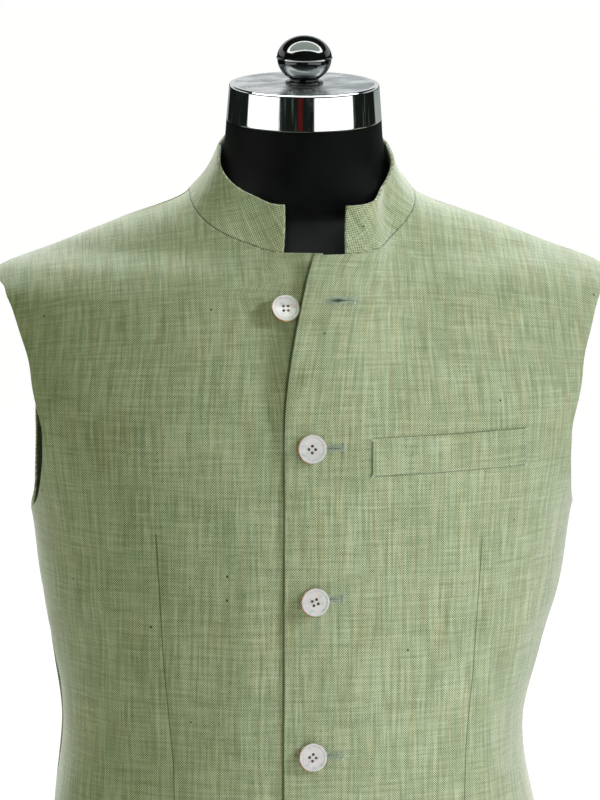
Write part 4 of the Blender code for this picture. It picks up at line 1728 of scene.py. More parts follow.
    def make(self, linen: Material) -> Object:
        """Args:
            linen: The cloth's material.

        Returns:
            The finished piece.
        """
        patch, distance, inner = self.grid()
        dart = self.dart_distance(patch.points)
        points, normals = to_world(self.hand, patch.points), mirrored(self.hand, patch.normals)
        dip = self.dart_hollow * np.exp(-((dart / self.dart_width) ** 2))
        points = points - normals * dip[..., None]
        grain = patch.grain * np.array([self.hand.value, 1]) + np.array(self.grain_from)
        line = self.line_distance(patch.points, inner)
        # The linen paints shade along these lines: in the dart's ditch, the middle back seam and beside the
        # lap.
        seam = np.where(np.abs(dart) < np.abs(line), dart * self.dart_fineness, line)
        mesh = rolled_wall(self.name, Patch(points, normals, grain), distance, CLOTH, seam)
        piece = add_piece("linen_" + self.name, mesh, linen)
        settle(piece, "linen", self.name)
        return piece


LEFT_DART = ((0.1180, -0.1725), (0.1155, -0.2255), (0.1135, -0.273), (0.1090, -0.329), (0.1060, -0.440))
RIGHT_DART = ((0.1064, -0.169), (0.1042, -0.2075), (0.1014, -0.262), (0.0947, -0.334), (0.0930, -0.440))
PANELS = (
    Panel(Side.FRONT, Hand.LEFT, (0.29, 0.68), 0.150, (0.0, 0.7), darts=LEFT_DART),
    Panel(Side.FRONT, Hand.RIGHT, (0.29, 0.68), 0.150, (0.83, 0.64), darts=RIGHT_DART),
    Panel(Side.BACK, Hand.LEFT, (0.27, 0.70), 0.145, (1.4, 0.7), columns=84),
    Panel(Side.BACK, Hand.RIGHT, (0.27, 0.70), 0.145, (2.3, 0.6), columns=84),
)


@dataclass
class StandCollar:
    """The stand collar, a band leaning in round the neck and open at the front."""

    thickness: float = 0.0026
    hollow: float = 0.0024
    inward: Collar = Collar(front=0.014, side=0.0191, back=0.009)
    upward: Collar = Collar(front=0.0315, side=0.0320, back=0.0350)
    neck_aside: float = 0.0016
    half_columns: int = 84
    rows: int = 22
    front_length: float = 0.11
    first_share: float = 0.03
    foot_ease: float = 0.12
    grain_from: Pair = (0.61, 0.23)
    flat: Pair = (0.42, 0.045)
    area: float = 0.0165

    def measure(self, sizes: Collar, side: Side, turn: Array) -> Array:
        """A collar measure between its middle and its side."""
        middle = sizes.front if side is Side.FRONT else sizes.back
        return middle + (sizes.side - middle) * np.sin(turn) ** 2

    def half(self, hand: Hand) -> tuple[Array, Array, Array]:
        """Foot points, foot normals and top points from the middle front to the middle back.

        Args:
            hand: The wearer's side.

        Returns:
            The three rows of points and normals.
        """
        feet, normals, tops = [], [], []
        for side in Side:
            share = np.linspace(0, 1, self.half_columns)
            if side is Side.FRONT:
                rest = np.linspace(self.first_share, 1, self.half_columns - len(ROLL_STEPS))
                share = np.concatenate([np.array(ROLL_STEPS) / self.front_length, rest])
            angles, rises = SHAPE.stations(side, SHAPE.neckline(side), share)
            patch = SHAPE.place(side, hand, angles, rises)
            plain = SHAPE.skin(side, angles, rises)
            turn = np.arctan2(plain[..., 0], np.abs(plain[..., 1]))
            lean = self.measure(self.inward, side, turn)
            ahead = 1 if side is Side.FRONT else -1
            climb = self.measure(self.upward, side, turn)
            shift = np.stack([-lean * np.sin(turn) ** 2, lean * np.cos(turn) * ahead, climb], axis=-1)
            foot = patch.points.copy()
            if side is Side.BACK:
                foot[..., 0] -= SEAM_GAP / 2
                foot, shift, norm = foot[::-1][1:], shift[::-1][1:], patch.normals[::-1][1:]
            else:
                norm = patch.normals
            feet.append(foot)
            normals.append(norm)
            tops.append(foot + shift)
        return np.concatenate(feet), np.concatenate(normals), np.concatenate(tops)

    def make(self, linen: Material) -> Object:
        """Args:
            linen: The cloth's material.

        Returns:
            The piece.
        """
        halves = []
        for hand in (Hand.RIGHT, Hand.LEFT):
            feet, normals, tops = self.half(hand)
            aside = np.array([self.neck_aside, 0, 0])
            halves.append((to_world(hand, feet), mirrored(hand, normals), to_world(hand, tops) + aside))
        feet, foot_normals, tops = (np.concatenate([r, l[::-1][1:]]) for r, l in zip(*halves))
        middle = len(halves[0][0]) - 1
        feet[middle, 0] = 0
        up = unit(tops - feet)
        feet = feet + up * SEAM_GAP
        height = np.linalg.norm(tops - feet, axis=1).mean()
        share = crowded(1.0, self.rows, height)
        levels = share[:, None, None]
        band = feet + (tops - feet) * levels
        lean = self.normals(band)
        band = band - lean * self.hollow * 4 * levels * (1 - levels)
        thick = self.normals(band)
        ease = np.clip(levels / self.foot_ease, 0, 1)
        thick = unit(foot_normals * (1 - ease) + thick * ease)
        length = along(tops * 0.5 + feet * 0.5)
        distance = edge_distance(share * height, height, length, length[-1])
        bowed = (length - length[-1] / 2)[None, :] + 0 * levels[..., 0]
        grain = np.stack([bowed, share[:, None] * height + 0 * bowed], axis=-1) + np.array(self.grain_from)
        mesh = rolled_wall("collar", Patch(band, thick, grain), distance, self.thickness)
        piece = add_piece("linen_collar", mesh, linen)
        settle(piece, "linen", "collar")
        return piece

    def normals(self, band: Array) -> Array:
        """Outward normals of the band.

        Args:
            band: The band's points, row by row.

        Returns:
            A normal for each point.
        """
        wide, high = np.gradient(band, axis=1), np.gradient(band, axis=0)
        made = unit(np.cross(wide, high))
        return -made if made[len(made) // 2, 0, 1] > 0 else made


@dataclass
class PocketWelt:
    """The chest pocket's folded strip, sewn down at its foot and its ends."""

    width: float = 0.1115
    height: float = 0.0262
    thickness: float = 0.0007
    stand_off: float = SEAM_GAP
    crown: float = 0.0004
    inset: float = 0.0016
    pick: StitchRun = StitchRun(0.0034, 0.0012, 0.00017, 0.20, 11)
    bar: StitchRun = StitchRun(0.00042, 0.0026, 0.00018, 0.12, 5)
    pick_off: float = 0.00015
    bar_off: float = 0.0002
    bar_inset: float = 0.0006
    bar_reach: Pair = (-0.0012, 0.0006)
    centre_out: float = 0.0952
    centre_rise: float = -0.1166
    tilt: float = math.radians(1.5)
    columns: int = 80
    rows: int = 18
    grain_from: Pair = (0.203, 0.118)
    dense_steps: int = 600

    def spots(self, across: Array, upward: Array) -> tuple[Array, Array]:
        """Outs and rises of places on the welt, measured from its middle.

        Args:
            across: Metres outwards from the middle.
            upward: Metres up from the middle.

        Returns:
            The outs and the rises.
        """
        angles = np.linspace(0, math.pi / 2, self.dense_steps)
        middle = SHAPE.skin(Side.FRONT, angles, np.full_like(angles, self.centre_rise))
        reach = along(middle)
        centre = np.interp(self.centre_out, middle[:, 0], reach)
        rise = self.centre_rise + upward + across * math.sin(self.tilt)
        return np.interp(centre + across, reach, middle[:, 0]), rise

    def make(self, linen: Material) -> Object:
        """Args:
            linen: The cloth's material.

        Returns:
            The piece.
        """
        across, upward = crowded(self.width, self.columns), crowded(self.height, self.rows)
        wide, high = np.meshgrid(across - self.width / 2, upward - self.height / 2)
        outs, rises = self.spots(wide, high)
        patch = SHAPE.place(Side.FRONT, Hand.LEFT, SHAPE.angle_at(outs, rises), rises)
        points = to_world(Hand.LEFT, patch.points) + patch.normals * (self.stand_off + self.thickness)
        distance = edge_distance(upward, self.height, across, self.width)
        crown = self.crown * np.sin(np.pi * (high / self.height + 0.5))
        points = points + patch.normals * crown[..., None]
        grain = np.stack([wide, high], axis=-1) + np.array(self.grain_from)
        # The edge distance also sets the linen's painted shade along the welt's edges.
        mesh = rolled_wall("welt", Patch(points, patch.normals, grain), distance, self.thickness, distance)
        piece = add_piece("linen_pocket_welt", mesh, linen)
        settle(piece, "linen", "pocket_welt")
        return piece

    def sew(self, thread: Material) -> Object:
        """Pick stitches along the foot and the ends.

        Args:
            thread: The thread's material.

        Returns:
            The stitches.
        """
        off = self.stand_off + self.thickness + self.pick_off
        wide, high = self.width / 2 - self.inset, self.height / 2 - self.inset
        foot, climb = np.linspace(-wide, wide, 120), np.linspace(-high, high, 40)
        paths = [(foot, np.full_like(foot, -high))]
        paths += [(np.full_like(climb, end * wide), climb) for end in (-1, 1)]
        lines = [running(*self.spots(*path), off) for path in paths]
        return settle(self.pick.sew("welt_pick_stitches", lines, thread), "linen")

    def bars(self, thread: Material) -> Object:
        """The bar tacks that hold the welt's corners.

        Args:
            thread: The thread's material.

        Returns:
            The stitches.
        """
        off = self.stand_off + self.thickness + self.bar_off
        lines = []
        for end, level in itertools.product((-1, 1), repeat=2):
            middle = level * (self.height / 2 - self.bar_inset)
            climb = np.linspace(middle + self.bar_reach[0], middle + self.bar_reach[1], 12)
            outs, rises = self.spots(np.full_like(climb, end * self.width / 2), climb)
            lines.append(running(outs, rises, off, across=True))
        return settle(self.bar.sew("welt_bar_tacks", lines, thread), "linen")


class ButtonSpot(NamedTuple):
    """Where a button is sewn: its name, its panel's hand, its place and its turn in degrees."""

    name: str
    hand: Hand
    out: float
    rise: float
    turn: float


BUTTON_SPOTS = (
    ButtonSpot("button_1", Hand.RIGHT, 0.0010, -0.0200, 0),
    ButtonSpot("button_2", Hand.LEFT, -0.0012, -0.1115, 42),
    ButtonSpot("button_3", Hand.LEFT, 0.0010, -0.2165, 22),
    ButtonSpot("button_4", Hand.LEFT, 0.0000, -0.3265, 38),
    ButtonSpot("button_5", Hand.LEFT, 0.0005, -0.4345, 10),
)


@dataclass
class PearlButton:
    """A four-hole button with a rim, a groove and a dished middle, on a thread shank."""

    radius: float = 0.0100
    thickness: float = 0.0030
    groove: float = 0.00016
    dish: float = 0.0006
    hole_radius: float = 0.0010
    hole_reach: float = 0.0023
    segments: int = 72
    stand_off: float = 0.0013
    tip_right: float = 8.5
    tip_up: float = 3.5
    shank_turns: int = 5
    eased: float = 0.00012
    rind_edge: Pair = (0.955, 0.990)
    rind_shade_lean: float = 0.05
    rind_back: Pair = (-0.45, -0.25)
    drill_ends: Pair = (-0.002, 0.006)
    drill_segments: int = 24

    def profile(self) -> list[Pair]:
        """(radius, height) pairs from the back, round the rim and into the dish.

        Returns:
            The pairs.
        """
        r, t = self.radius, self.thickness
        corners = [
            (0.0072, 0.0, 0.0),
            (r * 0.93, 0.0002, 0.0006),
            (r, t * 0.42, 0.0006),
            (r * 0.985, t * 0.86, 0.0004),
            (r * 0.925, t, 0.0005),
            (r * 0.84, t * 0.985, 0.0003),
            (r * 0.775, t - self.dish * 0.55, 0.0002),
            (r * 0.755, t - self.dish * 0.55 - self.groove, 0.0001),
            (r * 0.735, t - self.dish * 0.55 - self.groove, 0.0001),
            (r * 0.715, t - self.dish * 0.55, 0.0002),
            (r * 0.40, t - self.dish * 1.05, 0.0010),
            (r * 0.06, t - self.dish * 1.10, 0.0),
        ]
        return rounded(corners, 4)

    def frame(self, spot: ButtonSpot) -> Matrix:
        """A matrix from the button's own frame to its place on the cloth.

        Args:
            spot: Where the button sits.

        Returns:
            The matrix.
        """
        point, normal = surface_line(spot.hand, np.array(spot.out), np.array(spot.rise), self.stand_off)
        square = Vector(normal).to_track_quat("Z", "X").to_matrix().to_4x4()
        tip = Matrix.Rotation(math.radians(self.tip_right), 4, "Z")
        tip = tip @ Matrix.Rotation(-math.radians(self.tip_up), 4, "X")
        spin = Matrix.Rotation(math.radians(spot.turn + 45), 4, "Z")
        return Matrix.Translation(Vector(point)) @ tip @ square @ spin

    def holes(self) -> list[Pair]:
        """The middles of the four holes."""
        turns = [quarter * math.pi / 2 for quarter in range(4)]
        return [(self.hole_reach * math.cos(turn), self.hole_reach * math.sin(turn)) for turn in turns]

    def drilled(self) -> Mesh:
        """A button's mesh, its holes through and its sharp edges eased.

        Returns:
            The mesh, in the button's own frame.
        """
        body = add_piece("blank", turned_mesh("blank", self.profile(), self.segments))
        drills = []
        for x, y in self.holes():
            ends = [(self.hole_radius, end) for end in self.drill_ends]
            bit = turned_mesh("drill", ends, self.drill_segments)
            drill = add_piece("drill", bit)
            drill.location = (x, y, 0)
            cut = body.modifiers.new("drilled", "BOOLEAN")
            cut.operation, cut.solver, cut.object = "DIFFERENCE", "EXACT", drill
            drills.append(drill)
        bevel = body.modifiers.new("eased", "BEVEL")
        bevel.width, bevel.segments = self.eased, 2
        bevel.limit_method, bevel.angle_limit = "ANGLE", math.radians(50)
        bpy.context.view_layer.update()
        made = bpy.data.meshes.new_from_object(body.evaluated_get(bpy.context.evaluated_depsgraph_get()))
        for done in (body, *drills):
            bpy.data.objects.remove(done)
        return made

    def put_rind(self, made: Mesh, spot: ButtonSpot) -> None:
        """Marks where the amber rind shows: the back and the rim, reaching further in on its lower left as
        painted shade away from the key light.

        Args:
            made: The button's mesh.
            spot: Where the button sits.
        """
        places = np.zeros(len(made.vertices) * 3)
        made.vertices.foreach_get("co", places)
        local = places.reshape(-1, 3)
        edge = np.hypot(local[:, 0], local[:, 1]) / self.radius
        # Painted shade: the rind reaches further in on the rim's lower left, the side away from the key
        # light.
        shaded_side = self.frame(spot).to_3x3().inverted() @ Vector((-0.9, 0.0, -0.45))
        toward = (local[:, 0] * shaded_side.x + local[:, 1] * shaded_side.y) / self.radius
        rind = fade(edge + self.rind_shade_lean * toward, *self.rind_edge)
        back = fade(-local[:, 2], *(share * self.thickness for share in self.rind_back))
        rind = np.maximum(rind, back)
        put_layer(made, "rind", rind)

    def make(self, spot: ButtonSpot, pearl: Material) -> Object:
        """Turns a button, drills it and sets it on the cloth.

        Args:
            spot: Where the button sits.
            pearl: Its material.

        Returns:
            The button.
        """
        mesh = self.drilled()
        self.put_rind(mesh, spot)
        mesh.transform(self.frame(spot))
        piece = add_piece("pearl_" + spot.name, mesh, pearl)
        mesh.set_sharp_from_angle(angle=math.radians(45))
        return settle(piece, "shell", spot.name)

    def thread(self, spot: ButtonSpot, thread_and_hole_shade: Material) -> Object:
        """The thread down in the holes and round the shank; its near-black brown is painted shade in the
        holes.

        Args:
            spot: Where the button sits.
            thread_and_hole_shade: The thread's material.

        Returns:
            The thread.
        """
        work = bmesh.new()
        wide, narrow = self.hole_radius * 0.96, self.hole_radius * 0.7
        cones = [(16, wide, narrow, 0.0016, (x, y, 0.0006)) for x, y in self.holes()]
        for turn in range(self.shank_turns):
            odd = 0.0001 * (turn % 2)
            cones.append((20, 0.0017 + odd, 0.0018 - odd, 0.00028, (0, 0, -0.0001 - 0.0003 * turn)))
        for segments, low, high, depth, place in cones:
            sizes = {"segments": segments, "radius1": low, "radius2": high, "depth": depth}
            bmesh.ops.create_cone(work, cap_ends=True, matrix=Matrix.Translation(place), **sizes)
        mesh = from_work(spot.name + "_thread", work)
        mesh.transform(self.frame(spot))
        piece = add_piece(spot.name + "_thread", mesh, thread_and_hole_shade)
        mesh.set_sharp_from_angle(angle=math.radians(40))
        return settle(piece, "linen")


@dataclass
class Buttonholes:
    """The hand-sewn holes of the left front, one behind each button and one standing open."""

    start: float = 0.0
    end: float = 0.0200
    top_shift: float = -0.0040
    stitch: float = 0.0025
    gap: float = 0.00025
    mouth: float = 0.0009
    mouth_at: float = 0.40
    mouth_width: float = 0.15
    stitch_off: float = 0.00022
    knot_off: float = 0.00038
    upright_off: float = 0.00030
    binding_off: float = 0.00052
    tack_height: float = 0.0031
    tack_from: float = 0.0006
    tack_step: float = 0.00048
    rises: tuple[float, ...] = (-0.0130, -0.1110, -0.2150, -0.3255, -0.4335)

    def outs(self, share: Array, index: int) -> Array:
        """How far out the slit runs; on the open flap it sits nearer the edge."""
        return self.start + (self.end - self.start) * share + (self.top_shift if index == 0 else 0.0)

    def bow(self, share: Array, index: int) -> Array:
        """Half the slit's height along it: the top one, which no button fills, gapes a little.

        Args:
            share: Shares of the slit's length, 0 to 1.
            index: The buttonhole's place from the top.

        Returns:
            Metres at each share.
        """
        mouth = 0.0
        if index == 0:
            mouth = self.mouth * np.exp(-(((share - self.mouth_at) / self.mouth_width) ** 2))
        return (self.gap + mouth) * np.sin(np.pi * np.clip(share, 0.03, 0.97)) ** 0.4

    def lips(self, rise: float, index: int) -> tuple[list[Line], list[Line]]:
        """The lines of the overcast stitches and of their knots, above and below the slit.

        Args:
            rise: The slit's rise.
            index: The buttonhole's place from the top.

        Returns:
            The stitches' lines and the knots' lines.
        """
        share = np.linspace(0, 1, 60)
        outs = self.outs(share, index)
        bow = self.bow(share, index)
        stitches, knots = [], []
        for side in (-1, 1):
            middle = rise + side * (bow + self.stitch / 2)
            points, normals = surface_line(Hand.LEFT, outs, middle, self.stitch_off)
            above, _ = surface_line(Hand.LEFT, outs, middle + 0.0005, self.stitch_off)
            stitches.append(Line(points, unit(above - points), normals))
            knots.append(running(outs, rise + side * (bow + 0.0001), self.knot_off))
        return stitches, knots

    def tack(self, rise: float, end: float) -> tuple[list[Line], list[Line]]:
        """The upright threads of the bar tack and the short ones that bind them.

        Args:
            rise: The slit's rise.
            end: How far out the tack stands.

        Returns:
            The upright threads and the short ones.
        """
        uprights, height = [], self.tack_height
        for step in range(3):
            level = np.linspace(rise - height, rise + height, 9)
            out = end + self.tack_from + self.tack_step * step
            uprights.append(running(np.full_like(level, out), level, self.upright_off))
        level = np.linspace(rise - height * 0.8, rise + height * 0.8, 24)
        outs = np.full_like(level, end + 0.0011)
        return uprights, [running(outs, level, self.binding_off, across=True)]

    def make(self, thread: Material, slit: Material) -> None:
        """Sews every hole and lays a dark strip of painted shade in the slit between its lips.

        Args:
            thread: The thread's material.
            slit: The painted shade's material, between the lips.
        """
        for index, rise in enumerate(self.rises):
            name = f"buttonhole_{index + 1}"
            stitches, knots = self.lips(rise, index)
            uprights, binding = self.tack(rise, float(self.outs(1.0, index)))
            runs = (
                (StitchRun(0.00066, self.stitch, 0.00023, 0.16, 21 + index), stitches),
                (StitchRun(0.00066, 0.00062, 0.00026, 0.30, 41 + index), knots),
                (StitchRun(0.00090, 0.0019, 0.00024, 0.10, 61 + index), uprights),
                (StitchRun(0.00075, 0.0016, 0.00019, 0.20, 81 + index), binding),
            )
            self.join([run.sew(name, lines, thread) for run, lines in runs], name + "_stitches")
            self.slit(name + "_slit", rise, index, slit)

    def join(self, parts: Sequence[Object], name: str) -> None:
        """Joins stitched parts into one piece.

        Args:
            parts: The stitched parts.
            name: The joined piece's name.
        """
        work = bmesh.new()
        for part in parts:
            work.from_mesh(part.data)
        mesh = from_work(name, work)
        finish = parts[0].data.materials[0]
        for part in parts:
            bpy.data.objects.remove(part)
        settle(add_piece(name, mesh, finish), "linen")

    def slit(self, name: str, rise: float, index: int, finish: Material) -> None:
        """A dark strip of painted shade where the slit opens between the lips.

        Args:
            name: The piece's name.
            rise: The slit's rise.
            index: The buttonhole's place from the top.
            finish: Its material.
        """
        share = np.linspace(0, 1, 40)
        outs = self.outs(share, index)
        bow = self.bow(share, index) + 0.0001
        sides = np.linspace(-1, 1, 5)
        rows = [surface_line(Hand.LEFT, outs, rise + side * bow, 0.00009) for side in sides]
        points, normals = (np.array(both) for both in zip(*rows))
        inner = points - normals * 0.00025
        grain = np.stack([outs + 0 * points[..., 0], rise + 0 * points[..., 0]], axis=-1)
        settle(add_piece(name, wall_mesh(name, points, inner, grain), finish), "linen")


# The dress form


class Ease(NamedTuple):
    """The gap between the cloth and the form at a rise."""

    rise: float
    gap: float


class Neck(NamedTuple):
    """A section of the form's leaning neck."""

    rise: float
    half_width: float
    front: float
    back: float
    middle: float
    lean: float


@dataclass
class DressForm:
    """The limbless torso, its capped neck and the knob on top."""

    foot: float = -0.628
    foot_rounding: float = 0.012
    plate_rounding: float = 0.004
    neck_aside: float = 0.0016
    segments: int = 160
    ease: tuple[Ease, ...] = listed(
        Ease,
        (-0.640, 0.0165),
        (-0.583, 0.0145),
        (-0.325, 0.0120),
        (-0.172, 0.0065),
        (-0.060, 0.0040),
        (0.000, 0.0024),
        (0.0165, 0.0034),
        (0.035, 0.0062),
        (0.075, 0.0080),
    )
    plates: tuple[Reach, ...] = listed(
        Reach,
        (-0.700, 0.230),
        (-0.260, 0.205),
        (-0.200, 0.178),
        (-0.160, 0.1715),
        (-0.120, 0.1765),
        (-0.040, 0.1930),
        (0.010, 0.2040),
        (0.080, 0.2300),
    )
    neck: tuple[Neck, ...] = listed(
        Neck,
        (0.0520, 0.0700, 0.0605, 0.0625, 0.0000, 0.0),
        (0.0640, 0.0625, 0.0590, 0.0600, -0.0010, 1.5),
        (0.0780, 0.0572, 0.0560, 0.0560, -0.0035, 3.5),
        (0.0900, 0.0553, 0.0548, 0.0548, -0.0058, 5.0),
        (0.1025, 0.0544, 0.0544, 0.0544, -0.0080, 6.5),
    )
    plate_insets: Triple = (0.96, 0.5, 0.2)
    body_rings: tuple[float, int] = (-0.10, 96)
    shoulder_rings: tuple[float, float, int] = (-0.095, 0.040, 48)
    neck_rings: int = 26
    cap_height: float = 0.0255
    cap_foot_radius: float = 0.0544
    cap_top_radius: float = 0.0524
    knob_radius: float = 0.0197
    knob_height: float = 0.0330
    rose_radius: float = 0.0135
    waist_radius: float = 0.0100
    waist_height: float = 0.0030
    cap_segments: int = 160
    knob_segments: int = 96

    def ring(self, rise: float) -> Array:
        """One ring of the torso, inside the cloth and cut off at the arms.

        Args:
            rise: The ring's rise.

        Returns:
            Its points, in the row frame.
        """
        gap, plate = float(column(self.ease, "gap")(rise)), float(column(self.plates, "out")(rise))
        turns = full_turn(self.segments)
        angles = np.arcsin(np.clip(np.abs(np.sin(turns)), 0, 1))
        rises = np.full_like(angles, rise)
        made = np.zeros((len(turns), 3))
        for side, chosen in ((Side.FRONT, np.cos(turns) >= 0), (Side.BACK, np.cos(turns) < 0)):
            points = SHAPE.skin(side, angles, rises)
            points = points - SHAPE.skin_normal(side, points) * (CLOTH + gap)
            made[chosen] = points[chosen]
        past = np.clip((made[:, 0] - plate) / self.plate_rounding, -30, 30)
        made[:, 0] = np.where(past > -30, plate - self.plate_rounding * np.log1p(np.exp(-past)), made[:, 0])
        made[:, 0] *= np.where(np.sin(turns) >= 0, 1, -1)
        made[:, 2] += SHOULDER_TIP_Z
        return made

    def neck_ring(self, share: float) -> Array:
        """One ring of the neck between its foot and its cap.

        Args:
            share: 0 at the foot, 1 at the cap.

        Returns:
            Its points, in the row frame.
        """
        rises = [row.rise for row in self.neck]
        rise = rises[0] + (rises[-1] - rises[0]) * share
        width, front, back, middle, lean = (
            float(column(self.neck, key)(rise)) for key in ("half_width", "front", "back", "middle", "lean")
        )
        turns = full_turn(self.segments)
        local = -np.cos(turns) * np.where(np.cos(turns) >= 0, front, back)
        x = np.sin(turns) * width + self.neck_aside
        y = middle + local * math.cos(math.radians(lean))
        z = SHOULDER_TIP_Z + rise + local * math.sin(math.radians(lean))
        return np.stack([x, y, z], axis=1)

    def make_torso(self, cover: Material) -> Object:
        """The torso and neck under their smooth cover.

        Args:
            cover: The cover's material.

        Returns:
            The piece.
        """
        rings = []
        low = self.ring(self.foot + self.foot_rounding)
        spread = np.hypot(low[:, 0], low[:, 1])[:, None]
        for inset in self.plate_insets:
            plate = low.copy()
            plate[:, :2] *= 1 - inset
            plate[:, 2] = SHOULDER_TIP_Z + self.foot
            rings.append(plate)
        for turn in np.radians(np.linspace(90, 8, 9)):
            edge = low.copy()
            edge[:, :2] *= (spread - self.foot_rounding * (1 - math.cos(turn))) / spread
            edge[:, 2] = SHOULDER_TIP_Z + self.foot + self.foot_rounding * (1 - math.sin(turn))
            rings.append(edge)
        for span in ((self.foot + self.foot_rounding, *self.body_rings), self.shoulder_rings):
            rings += [self.ring(rise) for rise in np.linspace(*span)]
        last, first = rings[-1], self.neck_ring(0.0)
        for share in (0.33, 0.66):
            rings.append(last * (1 - share) + first * share)
        rings += [self.neck_ring(share) for share in np.linspace(0, 1, self.neck_rings)]
        count = self.segments
        points = [tuple(p) for p in np.concatenate(rings)]
        faces = ring_faces(len(rings), count)
        faces.append(tuple(reversed(range(count))))
        faces.append(tuple((len(rings) - 1) * count + i for i in range(count)))
        mesh = bpy.data.meshes.new("form_cover")
        mesh.from_pydata(points, [], faces)
        work = bmesh.new()
        work.from_mesh(mesh)
        bmesh.ops.recalc_face_normals(work, faces=work.faces)
        work.to_mesh(mesh)
        work.free()
        piece = add_piece("form_cover", mesh, cover)
        mesh.set_sharp_from_angle(angle=math.radians(60))
        return settle(piece, "form_black", "form_torso")

    def axis(self) -> Matrix:
        """A matrix from the cap's own frame to the leaning neck's top.

        Returns:
            The matrix.
        """
        top = self.neck[-1]
        place = Matrix.Translation((self.neck_aside, top.middle, SHOULDER_TIP_Z + top.rise))
        return place @ Matrix.Rotation(math.radians(top.lean), 4, "X")

    def make_cap(self, chrome: Material, brushed: Material, nickel: Material) -> None:
        """The neck's chromed cap: its wall, its plate and the knob.

        Args:
            chrome: The wall's material.
            brushed: The plate's material.
            nickel: The knob's material.
        """
        top, foot = self.cap_top_radius, self.cap_foot_radius
        wall = rounded(
            [
                (foot - 0.004, SEAM_GAP, 0.0),
                (foot - 0.0004, SEAM_GAP, 0.0002),
                (foot, SEAM_GAP + 0.0007, 0.0004),
                (foot - 0.0001, SEAM_GAP + 0.0020, 0.0003),
                (top, self.cap_height, 0.0017),
                (top - 0.0035, self.cap_height + 0.0001, 0.0),
            ],
            9,
        )
        edge, high = top - 0.0034, self.cap_height
        plate = [
            (edge, high - 0.002),
            (edge, high + 0.0001),
            (top * 0.7, high + 0.0003),
            (0.012, high + 0.0004),
        ]
        knob, axis = self.knob_profile(), self.axis()
        turned_piece("cap_wall", wall, self.cap_segments, chrome, 180, "neck_cap", frame=axis)
        turned_piece("cap_plate", plate, self.cap_segments, brushed, 30, frame=axis)
        turned_piece("cap_knob_ball", knob, self.knob_segments, nickel, 50, "cap_knob", frame=axis)

    def knob_profile(self) -> list[Pair]:
        """A rose, a waist and a ball in two halves with a groove between them.

        Returns:
            (radius, height) pairs, from the foot up.
        """
        low = self.cap_height + 0.0005
        waist = low + self.waist_height
        centre = low + self.knob_height * 0.52
        below, above = centre - waist, low + self.knob_height - centre
        wide, narrow = self.rose_radius, self.waist_radius
        rose = [(wide, low, 0.0), (wide, low + 0.0010, 0.0003), (0.0120, low + 0.0016, 0.0004)]
        profile = rounded([*rose, (narrow, low + 0.0019, 0.0006), (narrow, waist, 0.0)], 4)
        bowl = self.knob_radius * 0.965
        start = math.acos(narrow / bowl)
        for turn in np.linspace(start, 0.03, 26)[1:]:
            profile.append((bowl * math.cos(turn), centre - below * math.sin(turn) / math.sin(start)))
        lip = ((0.0012, -0.0002), (0.0012, 0.0001), (0.0002, 0.0002), (0.0, 0.0005), (0.0002, 0.0009))
        for inset, step in lip:
            profile.append((self.knob_radius - inset, centre + step))
        for turn in np.linspace(0.07, math.pi / 2 - 0.03, 34):
            profile.append((self.knob_radius * 0.980 * math.cos(turn), centre + above * math.sin(turn)))
        return profile


@dataclass
class Stand:
    """The round base, its pole and the flange under the torso."""

    base_radius: float = 0.150
    boss_radius: float = 0.024
    boss_height: float = 0.028
    pole_radius: float = 0.0125
    flange_radius: float = 0.045
    flange_height: float = 0.009
    form_foot: float = -0.628
    segments: int = 128
    sharp: float = 35

    def make(self, steel: Material) -> None:
        """Turns the three pieces in satin steel.

        Args:
            steel: Their material.
        """
        r, b = self.base_radius, self.boss_radius
        base = rounded(
            [
                (r - 0.012, 0.0, 0.0),
                (r - 0.001, 0.0, 0.0004),
                (r, 0.001, 0.0006),
                (r, 0.0055, 0.0012),
                (r - 0.002, 0.0070, 0.0020),
                (r * 0.55, 0.012, 0.02),
                (b + 0.006, 0.0135, 0.003),
                (b, 0.017, 0.003),
                (b - 0.002, self.boss_height - 0.002, 0.001),
                (b - 0.004, self.boss_height, 0.001),
                (0.016, self.boss_height, 0.0),
            ],
            8,
        )
        foot = SHOULDER_TIP_Z + self.form_foot
        low = foot - SEAM_GAP - self.flange_height
        flange = rounded(
            [
                (0.014, low, 0.0),
                (self.flange_radius * 0.62, low, 0.001),
                (self.flange_radius * 0.66, low + self.flange_height * 0.4, 0.002),
                (self.flange_radius, low + self.flange_height * 0.6, 0.001),
                (self.flange_radius, low + self.flange_height, 0.0005),
                (self.flange_radius - 0.004, low + self.flange_height, 0.0),
            ],
            6,
        )
        pole = [(self.pole_radius, self.boss_height + SEAM_GAP), (self.pole_radius, low - SEAM_GAP)]
        turned_piece("base_plate", base, self.segments, steel, self.sharp, "stand_base")
        turned_piece("pole_tube", pole, self.segments, steel, self.sharp, "stand_pole")
        turned_piece("form_flange", flange, self.segments, steel, self.sharp, "stand_flange")


# The studio


class Softbox(NamedTuple):
    """A soft light: its name, place, aim, size, strength, colour and spread in degrees."""

    name: str
    place: Triple
    aim: Triple
    size: Pair
    power: float
    tint: Triple
    spread: float = 180.0


class Band(NamedTuple):
    """A band of the room as polished metal sees it, by bearing in degrees from the camera."""

    start: float
    end: float
    tint: Triple


def aimed(made: Object, place: Triple, aim: Triple) -> Object:
    """Puts a lamp or a camera at a place, looking at another.

    Args:
        made: The lamp or the camera.
        place: Where it stands.
        aim: The point it looks at.

    Returns:
        The same object.
    """
    made.location = place
    away = Vector(aim) - Vector(place)
    made.rotation_euler = away.to_track_quat("-Z", "Y").to_euler()
    return made


